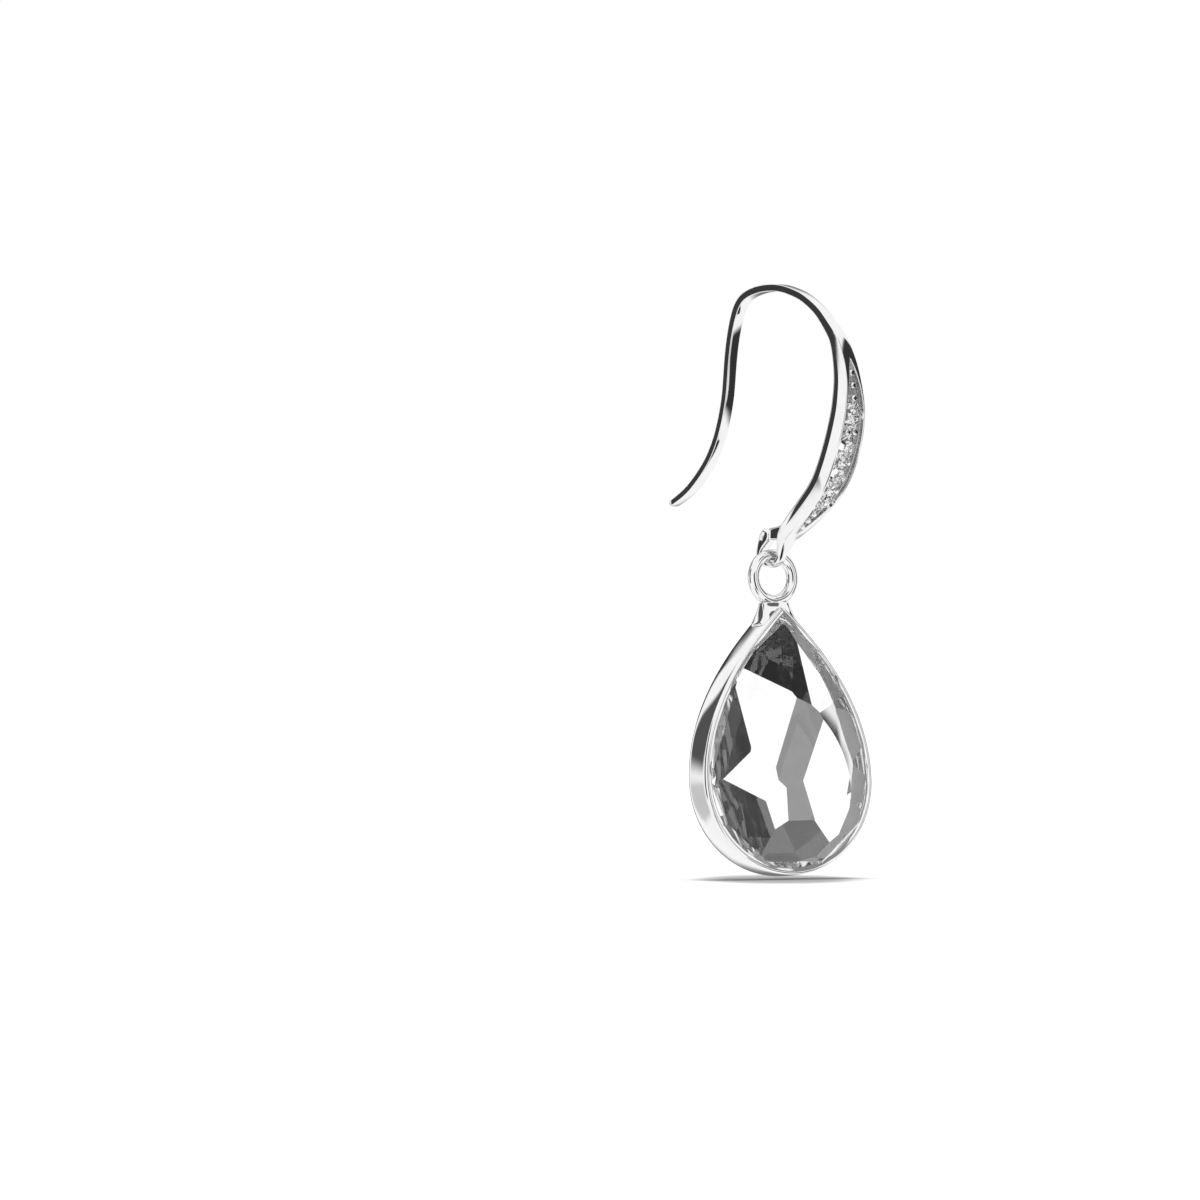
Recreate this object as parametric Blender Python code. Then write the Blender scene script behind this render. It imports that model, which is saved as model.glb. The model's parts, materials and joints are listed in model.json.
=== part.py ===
"""Teardrop earring.

A drop earring. A cast ear hook widens at the front into a panel with a channel
of four round stones, and bends at its foot into a loop. A pear-cut stone sits in
a closed bezel, whose eye hangs in that loop and swings forwards and backwards.

Frame: +Z is up, -Y is the front of the hook and X runs across it. The origin is
the inner top of the hook's arch, where the earring hangs in the ear. All lengths
are in metres.
"""
import math

import bmesh
import bpy
from mathutils import Matrix, Vector

MM = 0.001

# Ear hook
TAIL_REACH = 7.12 * MM
TAIL_DROP = 11.80 * MM
PANEL_REACH = 5.15 * MM
LOOP_DROP = 14.37 * MM
LOOP_SETBACK = 0.14 * MM
BAND_WIDTH = 0.74 * MM
BAND_THICKNESS = 0.40 * MM
BAND_ROUNDING = 0.12 * MM
PANEL_WIDTH = 2.36 * MM
PANEL_THICKNESS = 1.00 * MM
PANEL_BACK_ROUNDING = 0.26 * MM
PANEL_RIM_ROUNDING = 0.07 * MM

# Channel and its round stones
CHANNEL_START = 7.10 * MM
CHANNEL_TO_TONGUE = 0.57 * MM
CHANNEL_DEPTH = 0.24 * MM
RIM_WIDTH = 0.27 * MM
ACCENT_DIAMETER = 1.60 * MM
ACCENT_GAP = 0.13 * MM
ACCENT_CROWN = 0.25 * MM
ACCENT_GIRDLE = 0.07 * MM
ACCENT_PAVILION = 0.44 * MM
ACCENT_CLEARANCE = 0.03 * MM
BEAD_DIAMETER = 0.40 * MM
BEAD_LIFT = 0.08 * MM
BEAD_ROOT = 0.12 * MM
BEAD_SPREAD = 0.33 * MM
BEAD_PITCH = 0.50 * MM
BEAD_TO_STONE = 0.20 * MM
BEAD_TO_UPPER_POINT = 0.78 * MM
BEAD_TO_LOWER_POINT = 0.58 * MM

# Loop at the foot of the hook
LOOP_PLAY = 0.28 * MM
LOOP_STRIP = 0.30 * MM
TONGUE_WIDTH = 0.84 * MM
LOOP_WIDTH = 0.50 * MM
TAB_WIDTH = 0.68 * MM
FOOT_WIDTH = 0.95 * MM
LOOP_ROUNDING = 0.10 * MM

# Teardrop stone
STONE_WIDTH = 10.25 * MM
STONE_LENGTH = 14.05 * MM
STONE_CROWN = 0.60 * MM
STONE_GIRDLE = 0.18 * MM
STONE_PAVILION = 1.55 * MM
STONE_CLEARANCE = 0.03 * MM

# Bezel, neck and eye
WALL = 0.27 * MM
WALL_DEPTH = 1.85 * MM
BACK_WALL = 0.50 * MM
BACK_AIR = 0.27 * MM
RIM_ROUNDING = 0.10 * MM
LIP = 0.14 * MM
LIP_DEPTH = 0.22 * MM
LIP_AIR = 0.14 * MM
RIM_FORWARD = 0.93 * MM
EYE_WIRE = 0.62 * MM
EYE_RADIUS = 1.25 * MM
EYE_TO_APEX = 1.53 * MM
NECK_WAIST = 1.16 * MM
NECK_ROUNDING = 0.15 * MM
HANG_GAP = 0.08 * MM
DROP_TWIST = math.radians(-19.0)
DROP_SWING = math.radians(-4.2)

# Shapes of outlines and stones, as powers and shares without a length
PEAR_POWER = 2.00
LOWER_SHARE = 0.352
MARQUISE_POWER = 2.3
ROUND_TABLE = 0.58
PEAR_TABLE = 0.80
BREAK_CROWN = (0.476, 0.42)
BREAK_PAVILION = (0.42, 0.55)
BREAK_PLACES = (0.27, 0.73)
CULET_SHARE = 0.02
SEAT_POINT = 0.16
PEAR_TURNS = (38, 70, 104, 140, 180, 220, 256, 290, 322)
ROUND_TURNS = (0, 45, 90, 135, 180, 225, 270, 315)

# Reach of a cutter past the metal
OVERCUT = 0.30 * MM

# Fineness of the meshes
OUTLINE_STEPS = 24
CHANNEL_STEPS = 22
ROUND_SIDES = 16
BEAD_SIDES = 10
EYE_SIDES = (32, 12)
SPINE_STEPS = 2
CHANNEL_TIP = 0.02 * MM

LOOP_BORE = EYE_WIRE / 2 + LOOP_PLAY
LOOP_OUTER = LOOP_BORE + LOOP_STRIP
LOOP_CENTRE = Vector((0.0, LOOP_SETBACK, BAND_THICKNESS / 2 - LOOP_DROP))
HINGE = LOOP_CENTRE - Vector((0.0, 0.0, LOOP_BORE - EYE_WIRE / 2 - HANG_GAP))

# Back wire, tail tip to arch: back share of TAIL_REACH, down share of TAIL_DROP,
# width share of BAND_WIDTH, thickness share of BAND_THICKNESS
BACK_WIRE = (
    (1.000, 1.000, 0.45, 0.35),
    (0.988, 0.997, 0.80, 0.62),
    (0.960, 0.989, 0.96, 0.80),
    (0.835, 0.943, 1.00, 0.86),
    (0.727, 0.881, 1.00, 0.86),
    (0.618, 0.799, 1.00, 0.86),
    (0.546, 0.716, 1.00, 0.86),
    (0.497, 0.633, 1.00, 0.86),
    (0.453, 0.520, 1.00, 0.86),
    (0.436, 0.427, 1.00, 0.88),
    (0.419, 0.312, 1.00, 0.90),
    (0.387, 0.196, 1.00, 0.94),
    (0.342, 0.104, 1.00, 1.00),
    (0.296, 0.058, 1.00, 1.00),
    (0.240, 0.032, 1.00, 1.00),
    (0.168, 0.015, 1.00, 1.00),
    (0.086, 0.004, 1.00, 1.00),
)

# Front of the hook, arch to tongue: forward share of PANEL_REACH, down share of
# LOOP_DROP, swell of the width and of the thickness from the band's to the panel's
FRONT_PANEL = (
    (0.020, 0.000, 0.00, 0.00),
    (0.158, 0.005, 0.00, 0.00),
    (0.296, 0.020, 0.00, 0.00),
    (0.436, 0.041, 0.00, 0.00),
    (0.606, 0.085, 0.00, 0.05),
    (0.703, 0.123, 0.02, 0.10),
    (0.794, 0.164, 0.08, 0.18),
    (0.876, 0.206, 0.16, 0.33),
    (0.950, 0.282, 0.33, 0.60),
    (0.989, 0.355, 0.47, 0.77),
    (1.000, 0.424, 0.65, 0.92),
    (0.995, 0.478, 0.77, 1.00),
    (0.962, 0.545, 0.90, 1.00),
    (0.920, 0.603, 0.97, 1.00),
    (0.851, 0.674, 1.00, 1.00),
    (0.720, 0.762, 0.91, 1.00),
    (0.487, 0.845, 0.72, 0.88),
    (0.265, 0.915, 0.48, 0.62),
    (0.170, 0.950, 0.22, 0.30),
)

# Loop: angle round it from its front, the wide piece that it runs into there, and
# the share of that piece's extra width that it has
LOOP_TURNS = (
    (8, "tongue", 0.65),
    (38, "tongue", 0.10),
    (66, "tongue", 0.03),
    (90, "tongue", 0.00),
    (114, "tab", 0.10),
    (142, "tab", 0.50),
    (170, "tab", 0.90),
)

# Tab that closes the loop: back and up shares of LOOP_OUTER from the loop's centre,
# width share of TAB_WIDTH, thickness share of LOOP_STRIP
TAB = (
    (0.581, 0.465, 1.00, 1.56),
    (0.355, 0.884, 1.00, 2.45),
    (0.355, 1.206, 0.86, 1.72),
    (0.355, 1.432, 0.50, 0.31),
)

# Foot of the hook over the loop: forward, top and bottom shares of LOOP_OUTER from
# the loop's centre, width share of FOOT_WIDTH
FOOT = (
    (1.627, 1.420, 0.930, 1.20),
    (1.351, 1.617, 0.750, 1.12),
    (1.076, 1.604, 0.680, 1.05),
    (0.708, 1.506, 0.680, 1.00),
    (0.372, 1.445, 0.680, 1.00),
    (0.150, 1.396, 0.680, 0.92),
)

# Row of stones: size of each as a share of ACCENT_DIAMETER, top one first, and the
# row's middle as a share of the way down the channel
ACCENT_SIZES = (1.00, 1.00, 1.00, 0.94)
ROW_MIDDLE = 0.525
BEAD_DOME_ANGLES = (0, 35, 68, 86)

# Burnished rim of the bezel: inward and back as shares of RIM_ROUNDING
RIM_PROFILE = (
    (1.90, 0.00),
    (0.70, 0.25),
    (0.00, 1.20),
)

# Domed back of the bezel: scale of its outline, share of the way back
DOME = (
    (0.95, 0.30),
    (0.82, 0.62),
    (0.60, 0.86),
    (0.30, 0.97),
)

# Bowl under the stone: scale of the girdle's outline, share of the way to the floor
BOWL = (
    (0.93, 0.62),
    (0.76, 0.83),
    (0.50, 0.95),
    (0.22, 1.00),
)

# Neck: down share of the run from the eye's centre to the bezel's point, width
# share of NECK_WAIST, depth share of WALL_DEPTH
NECK = (
    (0.62, 1.45, 0.26),
    (0.78, 1.12, 0.32),
    (0.90, 1.00, 0.42),
    (1.03, 0.98, 0.56),
    (1.17, 1.04, 0.72),
    (1.33, 1.36, 0.84),
    (1.50, 1.80, 0.88),
    (1.66, 2.24, 0.90),
    (1.80, 2.38, 0.90),
)


def new_mesh_object(name, bm, collection, material=None, smooth=True):
    """Make an object of a bmesh, in a collection."""
    bmesh.ops.recalc_face_normals(bm, faces=bm.faces)
    mesh = bpy.data.meshes.new(name)
    bm.to_mesh(mesh)
    bm.free()
    if smooth:
        mesh.shade_smooth()
        mesh.set_sharp_from_angle(angle=math.radians(35))
    obj = bpy.data.objects.new(name, mesh)
    collection.objects.link(obj)
    if material:
        mesh.materials.append(material)
    return obj


def tool_object(name, bm, collection):
    """Make a solid that only cuts or joins another one."""
    obj = new_mesh_object(name, bm, collection, smooth=False)
    obj.hide_render = True
    obj.display_type = "WIRE"
    return obj


def boolean(obj, tool, operation):
    """Cut a tool from an object, or join it on."""
    modifier = obj.modifiers.new(tool.name, "BOOLEAN")
    modifier.object = tool
    modifier.operation = operation


def loft(rings):
    """Return a closed bmesh through rings that have the same number of points."""
    bm = bmesh.new()
    loops = [[bm.verts.new(point) for point in ring] for ring in rings]
    for one, two in zip(loops, loops[1:]):
        for index in range(len(one)):
            after = (index + 1) % len(one)
            bm.faces.new((one[index], one[after], two[after], two[index]))
    bm.faces.new(reversed(loops[0]))
    bm.faces.new(loops[-1])
    return bm


def rounded_box(width, height, low_radius, high_radius, steps=2):
    """Points round a rectangle whose low and high corners are rounded."""
    points = []
    corners = (
        (1, -1, low_radius, -90),
        (1, 1, high_radius, 0),
        (-1, 1, high_radius, 90),
        (-1, -1, low_radius, 180),
    )
    for side, level, radius, start in corners:
        radius = min(radius, width * 0.45, height * 0.45)
        centre = Vector((side * (width / 2 - radius), level * (height / 2 - radius)))
        for step in range(steps + 1):
            angle = math.radians(start + 90 * step / steps)
            points.append(centre + radius * Vector((math.cos(angle), math.sin(angle))))
    return points


def on_curve(a, b, c, d, t):
    """Number at t between b and c, on the smooth curve through all four."""
    return b + t * (c - a + t * (2 * a - 5 * b + 4 * c - d + t * (3 * (b - c) + d - a))) / 2


def smoothed(rows):
    """Add rows in between, on a smooth curve through the given ones."""
    smooth = []
    for index in range(len(rows) - 1):
        before = rows[max(index - 1, 0)]
        after = rows[min(index + 2, len(rows) - 1)]
        near = list(zip(before, rows[index], rows[index + 1], after))
        for step in range(SPINE_STEPS):
            smooth.append([on_curve(*four, step / SPINE_STEPS) for four in near])
    smooth.append(list(rows[-1]))
    return smooth


def hook_rows():
    """Rows of the hook's spine: y, z, width, thickness, back and rim rounding."""
    top = BAND_THICKNESS / 2
    rows = []
    for back, down, width, thickness in BACK_WIRE:
        rows.append((
            back * TAIL_REACH, top - down * TAIL_DROP,
            width * BAND_WIDTH, thickness * BAND_THICKNESS,
            BAND_ROUNDING, BAND_ROUNDING,
        ))
    for forward, down, wider, thicker in FRONT_PANEL:
        rows.append((
            -forward * PANEL_REACH, top - down * LOOP_DROP,
            BAND_WIDTH + wider * (PANEL_WIDTH - BAND_WIDTH),
            BAND_THICKNESS + thicker * (PANEL_THICKNESS - BAND_THICKNESS),
            BAND_ROUNDING + thicker * (PANEL_BACK_ROUNDING - BAND_ROUNDING),
            BAND_ROUNDING + thicker * (PANEL_RIM_ROUNDING - BAND_ROUNDING),
        ))
    middle = LOOP_BORE + LOOP_STRIP / 2
    for degrees, wide_part, share in LOOP_TURNS:
        angle = math.radians(degrees)
        wide = TONGUE_WIDTH if wide_part == "tongue" else TAB_WIDTH
        rows.append((
            LOOP_CENTRE.y - middle * math.cos(angle), LOOP_CENTRE.z - middle * math.sin(angle),
            LOOP_WIDTH + share * (wide - LOOP_WIDTH), LOOP_STRIP,
            LOOP_ROUNDING, LOOP_ROUNDING,
        ))
    for back, up, width, thickness in TAB:
        rows.append((
            LOOP_CENTRE.y + back * LOOP_OUTER, LOOP_CENTRE.z + up * LOOP_OUTER,
            width * TAB_WIDTH, thickness * LOOP_STRIP,
            LOOP_ROUNDING, LOOP_ROUNDING,
        ))
    return smoothed(rows)


def outward_normals(rows):
    """Direction away from the inside of the arch at each row of the spine."""
    normals = []
    for index in range(len(rows)):
        one, two = rows[max(index - 1, 0)], rows[min(index + 1, len(rows) - 1)]
        along = Vector((0.0, two[0] - one[0], two[1] - one[1])).normalized()
        normals.append(Vector((0.0, along.z, -along.y)))
    return normals


def hook_body(rows, normals):
    """Loft of the back wire, arch, panel, tongue, loop and tab in one bar."""
    rings = []
    for row, normal in zip(rows, normals):
        y, z, width, thickness, back_radius, rim_radius = row
        section = rounded_box(width, thickness, back_radius, rim_radius)
        rings.append([Vector((u, y, z)) + v * normal for u, v in section])
    return loft(rings)


def face_line(rows, normals):
    """Points down the hook's outer face from the top of the arch, with lengths."""
    first = max(range(len(rows)), key=lambda index: rows[index][1])
    line = []
    length = 0.0
    for index in range(first, len(rows)):
        y, z, _, thickness = rows[index][:4]
        point = Vector((0.0, y, z)) + normals[index] * thickness / 2
        if line:
            length += (point - line[-1][1]).length
        line.append((length, point, normals[index]))
    return line


def on_face(line, distance):
    """Point and outward direction at a distance down the outer face."""
    for (start, one, normal_one), (end, two, normal_two) in zip(line, line[1:]):
        if end >= distance:
            share = (distance - start) / (end - start)
            return one.lerp(two, share), normal_one.lerp(normal_two, share).normalized()
    return line[-1][1], line[-1][2]


def floor_place(line, distance, across=0.0):
    """Place on the channel's floor, with -Y looking out of the panel's face."""
    point, normal = on_face(line, distance)
    tilt = math.atan2(-normal.z, -normal.y)
    place = point - normal * CHANNEL_DEPTH + Vector((across, 0.0, 0.0))
    return Matrix.Translation(place) @ Matrix.Rotation(tilt, 4, "X")


def gathered(shapes):
    """One bmesh of several, each moved to its place."""
    bm = bmesh.new()
    mesh = bpy.data.meshes.new("shape")
    for shape, place in shapes:
        shape.transform(place)
        shape.to_mesh(mesh)
        shape.free()
        bm.from_mesh(mesh)
    bpy.data.meshes.remove(mesh)
    return bm


def channel_end(line):
    """Distance down the face of the channel's lower point, above the tongue."""
    rows_after_panel = (len(LOOP_TURNS) + len(TAB)) * SPINE_STEPS
    return line[-1 - rows_after_panel][0] - CHANNEL_TO_TONGUE


def channel_cutter(line):
    """Marquise channel in the panel's face, pointed at both ends."""
    length = channel_end(line) - CHANNEL_START
    rings = []
    for index in range(CHANNEL_STEPS + 1):
        share = index / CHANNEL_STEPS
        point, normal = on_face(line, CHANNEL_START + share * length)
        full = PANEL_WIDTH - 2 * RIM_WIDTH
        half = full / 2 * (1 - abs(2 * share - 1) ** MARQUISE_POWER) + CHANNEL_TIP
        floor = point - normal * CHANNEL_DEPTH
        above = point + normal * OVERCUT
        across = Vector((half, 0.0, 0.0))
        rings.append([floor - across, floor + across, above + across, above - across])
    return loft(rings)


def accent_places(line):
    """Distance down the face and diameter of each round stone."""
    pitch = ACCENT_DIAMETER + ACCENT_GAP
    middle = CHANNEL_START + ROW_MIDDLE * (channel_end(line) - CHANNEL_START)
    count = len(ACCENT_SIZES)
    return [
        (middle + (index - (count - 1) / 2) * pitch, ACCENT_DIAMETER * size)
        for index, size in enumerate(ACCENT_SIZES)
    ]


def bead_run(first, last):
    """Even places of beads from the one beside a stone to the one near the channel's
    point, no closer than their pitch."""
    gaps = int(abs(last - first) / BEAD_PITCH)
    return [first + (last - first) * index / max(gaps, 1) for index in range(gaps + 1)]


def bead_places(line):
    """Distance down the face and sideways place of each bead."""
    places = accent_places(line)
    top = places[0][0] - places[0][1] / 2 - BEAD_TO_STONE
    bottom = places[-1][0] + places[-1][1] / 2 + BEAD_TO_STONE
    upper = bead_run(top, CHANNEL_START + BEAD_TO_UPPER_POINT)
    lower = bead_run(bottom, channel_end(line) - BEAD_TO_LOWER_POINT)
    beads = [(distance, 0.0) for distance in upper + lower]
    for (one, _), (two, _) in zip(places, places[1:]):
        beads += [((one + two) / 2, -BEAD_SPREAD), ((one + two) / 2, BEAD_SPREAD)]
    return beads


def circle(radius, count, depth):
    """Ring about the Y axis."""
    turns = [2 * math.pi * index / count for index in range(count)]
    return [Vector((radius * math.sin(turn), depth, radius * math.cos(turn))) for turn in turns]


def bead_body():
    """Domed bead on its own root in the metal."""
    radius = BEAD_DIAMETER / 2
    rings = [circle(radius, BEAD_SIDES, BEAD_ROOT)]
    for degrees in BEAD_DOME_ANGLES:
        angle = math.radians(degrees)
        depth = -BEAD_LIFT - radius * math.sin(angle)
        rings.append(circle(radius * math.cos(angle), BEAD_SIDES, depth))
    return loft(rings)


def seat_cutter(diameter):
    """Pocket that a round stone sits in, with its clearance all round."""
    size = diameter / ACCENT_DIAMETER
    radius = diameter / 2 + ACCENT_CLEARANCE
    table = radius * ROUND_TABLE + ACCENT_CLEARANCE
    rings = [
        (table, -ACCENT_CROWN * size - ACCENT_CLEARANCE),
        (radius, -ACCENT_CLEARANCE),
        (radius, ACCENT_GIRDLE + ACCENT_CLEARANCE),
        (radius * SEAT_POINT, ACCENT_GIRDLE + ACCENT_PAVILION * size + ACCENT_CLEARANCE),
    ]
    return loft([circle(ring, ROUND_SIDES, depth) for ring, depth in rings])


def foot_body():
    """Thick foot of the hook that closes the top of the loop."""
    rings = []
    for forward, top, bottom, width in FOOT:
        height = (top - bottom) * LOOP_OUTER
        section = rounded_box(width * FOOT_WIDTH, height, LOOP_ROUNDING, PANEL_BACK_ROUNDING)
        y = LOOP_CENTRE.y - forward * LOOP_OUTER
        z = LOOP_CENTRE.z + (top + bottom) / 2 * LOOP_OUTER
        rings.append([Vector((u, y, z + v)) for u, v in section])
    return loft(rings)


def pear():
    """Stone's pear outline, bottom first: points (x, z) about its widest line."""
    low = STONE_LENGTH * LOWER_SHARE
    high = STONE_LENGTH - low
    side = []
    for index in range(OUTLINE_STEPS + 1):
        angle = math.radians(-90 + 180 * index / OUTLINE_STEPS)
        if angle < 0:
            side.append(Vector((STONE_WIDTH / 2 * math.cos(angle), low * math.sin(angle))))
        else:
            reach = max(math.cos(angle), 0.0) ** PEAR_POWER
            side.append(Vector((STONE_WIDTH / 2 * reach, high * math.sin(angle))))
    side[0].x = 0.0
    side[-1].x = 0.0
    return side + [Vector((-point.x, point.y)) for point in reversed(side[1:-1])]


def grow(outline, distance):
    """Move each side of an outline outwards by a distance, or inwards if negative."""
    grown = []
    for index, point in enumerate(outline):
        before = outline[index - 1]
        after = outline[(index + 1) % len(outline)]
        one = (point - before).normalized()
        two = (after - point).normalized()
        normal = Vector((one.y + two.y, -one.x - two.x)).normalized()
        share = normal.dot(Vector((one.y, -one.x)))
        grown.append(point + normal * distance / share)
    return grown


def at_depth(outline, depth, scale=1.0):
    """Ring of an outline at a depth behind the bezel's front."""
    lift = drop_middle()
    return [Vector((p.x * scale, depth - RIM_FORWARD, p.y * scale + lift)) for p in outline]


def bezel_outline():
    """Outer outline of the bezel: the stone's, with its clearance and the wall."""
    return grow(pear(), STONE_CLEARANCE + WALL)


def drop_middle():
    """Height of the stone's widest line under the hinge."""
    return -EYE_RADIUS - EYE_TO_APEX - max(point.y for point in bezel_outline())


def bezel_blank():
    """Outside of the bezel: burnished rim, straight wall and domed back."""
    outer = bezel_outline()
    rings = [
        at_depth(grow(outer, -inward * RIM_ROUNDING), back * RIM_ROUNDING)
        for inward, back in RIM_PROFILE
    ]
    rings.append(at_depth(outer, WALL_DEPTH))
    dome = floor_depth() + BACK_WALL - WALL_DEPTH
    for scale, share in DOME:
        rings.append(at_depth(outer, WALL_DEPTH + share * dome, scale))
    return loft(rings)


def pocket_cutter():
    """Hollow of the bezel: mouth, lip, girdle seat and bowl under the stone."""
    girdle = grow(pear(), STONE_CLEARANCE)
    mouth = grow(girdle, -LIP)
    back = girdle_depth() + STONE_GIRDLE + STONE_CLEARANCE
    rings = [
        at_depth(mouth, -OVERCUT),
        at_depth(mouth, LIP_DEPTH),
        at_depth(girdle, girdle_depth() - STONE_CLEARANCE),
        at_depth(girdle, back),
    ]
    for scale, share in BOWL:
        rings.append(at_depth(girdle, back + share * (floor_depth() - back), scale))
    return loft(rings)


def girdle_depth():
    """Depth of the stone's girdle behind the rim, under the lip on its crown."""
    slope = STONE_CROWN / ((1 - PEAR_TABLE) * STONE_WIDTH / 2)
    return LIP_DEPTH + (LIP - STONE_CLEARANCE) * slope + LIP_AIR


def floor_depth():
    """Depth of the bezel's floor, clear of the stone's point."""
    return girdle_depth() + STONE_GIRDLE + STONE_PAVILION + BACK_AIR


def neck_body():
    """Flare from the eye down on to the bezel's shoulders."""
    rings = []
    for down, width, depth in NECK:
        section = rounded_box(width * NECK_WAIST, depth * WALL_DEPTH, NECK_ROUNDING, NECK_ROUNDING)
        z = -EYE_RADIUS - down * EYE_TO_APEX
        rings.append([Vector((u, v, z)) for u, v in section])
    return loft(rings)


def slice_off(bm, point, normal):
    """Cut away all that lies beyond a plane, and close the cut."""
    geometry = bm.verts[:] + bm.edges[:] + bm.faces[:]
    cut = bmesh.ops.bisect_plane(
        bm, geom=geometry, dist=1e-8, plane_co=point, plane_no=normal, clear_outer=True,
    )
    edges = [item for item in cut["geom_cut"] if isinstance(item, bmesh.types.BMEdge)]
    if len(edges) > 2:
        bmesh.ops.contextual_create(bm, geom=edges)


def tangent_at(outline, turn):
    """Furthest point of an outline in a direction, and that direction."""
    direction = Vector((math.sin(turn), math.cos(turn)))
    return max(outline, key=lambda point: point.dot(direction)), direction


def facet(bm, girdle, other, turn, girdle_y, other_y):
    """Cut one facet between a girdle outline and a smaller outline further out."""
    one, direction = tangent_at(girdle, turn)
    two, _ = tangent_at(other, turn)
    start = Vector((one.x, girdle_y, one.y))
    end = Vector((two.x, other_y, two.y))
    across = Vector((direction.y, 0.0, -direction.x))
    normal = across.cross(end - start).normalized()
    if normal.dot(Vector((direction.x, 0.0, direction.y))) < 0:
        normal = -normal
    slice_off(bm, start, normal)


def scaled(outline, share):
    """Outline drawn in towards its middle."""
    return [point * share for point in outline]


def cut_stone(outline, table, crown, girdle, pavilion, turns, breaks_after=()):
    """Faceted stone, table towards -Y, with the girdle's front edge at y = 0.

    The main facets face the given turns from straight up, with two small facets
    between each two. The pear's two top facets meet in one ridge from its point.
    """
    bm = loft([
        [Vector((p.x, -crown, p.y)) for p in outline],
        [Vector((p.x, girdle + pavilion, p.y)) for p in outline],
    ])
    bmesh.ops.recalc_face_normals(bm, faces=bm.faces)
    for turn in turns:
        angle = math.radians(turn)
        facet(bm, outline, scaled(outline, table), angle, 0.0, -crown)
        facet(bm, outline, scaled(outline, CULET_SHARE), angle, girdle, girdle + pavilion)
    for one, two in zip(turns, turns[1:] + breaks_after):
        for share in BREAK_PLACES:
            angle = math.radians(one + share * (two - one))
            run, level = BREAK_CROWN
            facet(bm, outline, scaled(outline, 1 - run * (1 - table)), angle, 0.0, -level * crown)
            size, level = BREAK_PAVILION
            facet(bm, outline, scaled(outline, size), angle, girdle, girdle + level * pavilion)
    return bm


def material(name, colour, roughness, metallic):
    """Plain finish of a piece."""
    finish = bpy.data.materials.new(name)
    finish.use_nodes = True
    shader = finish.node_tree.nodes["Principled BSDF"]
    shader.inputs["Base Color"].default_value = (*colour, 1.0)
    shader.inputs["Roughness"].default_value = roughness
    shader.inputs["Metallic"].default_value = metallic
    return finish


def make_hook(parts, tools, silver):
    """Ear hook in one casting, with the beads raised from its channel."""
    rows = hook_rows()
    normals = outward_normals(rows)
    line = face_line(rows, normals)
    hook = new_mesh_object("ear_hook", hook_body(rows, normals), parts, silver)
    boolean(hook, tool_object("foot", foot_body(), tools), "UNION")
    boolean(hook, tool_object("channel", channel_cutter(line), tools), "DIFFERENCE")
    beads = [(bead_body(), floor_place(line, *place)) for place in bead_places(line)]
    boolean(hook, tool_object("beads", gathered(beads), tools), "UNION")
    seats = [(seat_cutter(size), floor_place(line, place)) for place, size in accent_places(line)]
    boolean(hook, tool_object("seats", gathered(seats), tools), "DIFFERENCE")
    return hook, line


def make_accents(parts, hook, line, crystal):
    """Four round stones down the channel."""
    for index, (distance, diameter) in enumerate(accent_places(line)):
        size = diameter / ACCENT_DIAMETER
        outline = [Vector((p.x, p.z)) for p in circle(diameter / 2, 2 * ROUND_SIDES, 0.0)]
        bm = cut_stone(outline, ROUND_TABLE, ACCENT_CROWN * size, ACCENT_GIRDLE,
                       ACCENT_PAVILION * size, ROUND_TURNS, breaks_after=(ROUND_TURNS[0] + 360,))
        stone = new_mesh_object(f"accent_stone_{index + 1}", bm, parts, crystal, smooth=False)
        stone.matrix_world = floor_place(line, distance)
        stone.parent = hook


def make_drop(parts, tools, silver, crystal):
    """Bezel with its eye, and the teardrop stone in it, on the hinge's empty."""
    axis = bpy.data.objects.new("drop_axis", None)
    axis.location = HINGE
    axis.rotation_euler = (DROP_SWING, 0.0, DROP_TWIST)
    parts.objects.link(axis)

    setting = new_mesh_object("drop_setting", bezel_blank(), parts, silver)
    neck = tool_object("neck", neck_body(), tools)
    bpy.ops.mesh.primitive_torus_add(
        major_radius=EYE_RADIUS, minor_radius=EYE_WIRE / 2,
        major_segments=EYE_SIDES[0], minor_segments=EYE_SIDES[1],
        location=(0.0, 0.0, -EYE_RADIUS), rotation=(math.pi / 2, 0.0, 0.0),
    )
    eye = bpy.context.object
    eye.name = "eye"
    eye.hide_render = True
    eye.display_type = "WIRE"
    for collection in eye.users_collection:
        collection.objects.unlink(eye)
    tools.objects.link(eye)
    pocket = tool_object("pocket", pocket_cutter(), tools)
    boolean(setting, neck, "UNION")
    boolean(setting, eye, "UNION")
    boolean(setting, pocket, "DIFFERENCE")

    bm = cut_stone(pear(), PEAR_TABLE, STONE_CROWN, STONE_GIRDLE, STONE_PAVILION, PEAR_TURNS)
    bm.transform(Matrix.Translation((0.0, girdle_depth() - RIM_FORWARD, drop_middle())))
    stone = new_mesh_object("teardrop_stone", bm, parts, crystal, smooth=False)
    for obj in (setting, stone, neck, eye, pocket):
        obj.parent = axis


def main():
    """Build the whole earring."""
    for obj in list(bpy.data.objects):
        bpy.data.objects.remove(obj)
    parts = bpy.data.collections.new("teardrop_earring")
    tools = bpy.data.collections.new("cutters")
    for collection in (parts, tools):
        bpy.context.scene.collection.children.link(collection)
    silver = material("polished silver", (0.86, 0.86, 0.87), 0.12, 1.0)
    crystal = material("clear crystal", (0.90, 0.92, 0.94), 0.02, 0.0)
    hook, line = make_hook(parts, tools, silver)
    make_accents(parts, hook, line, crystal)
    make_drop(parts, tools, silver, crystal)


main()
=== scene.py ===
"""Looks of the teardrop earring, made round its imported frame.

The hook, the setting and the stones are modelled again at a fine scale, in the
places of their solids: polished silver with a matt channel, four clear round
stones, and a pear-cut crystal whose back facets carry a mirror foil.
"""
import json
import math

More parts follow.
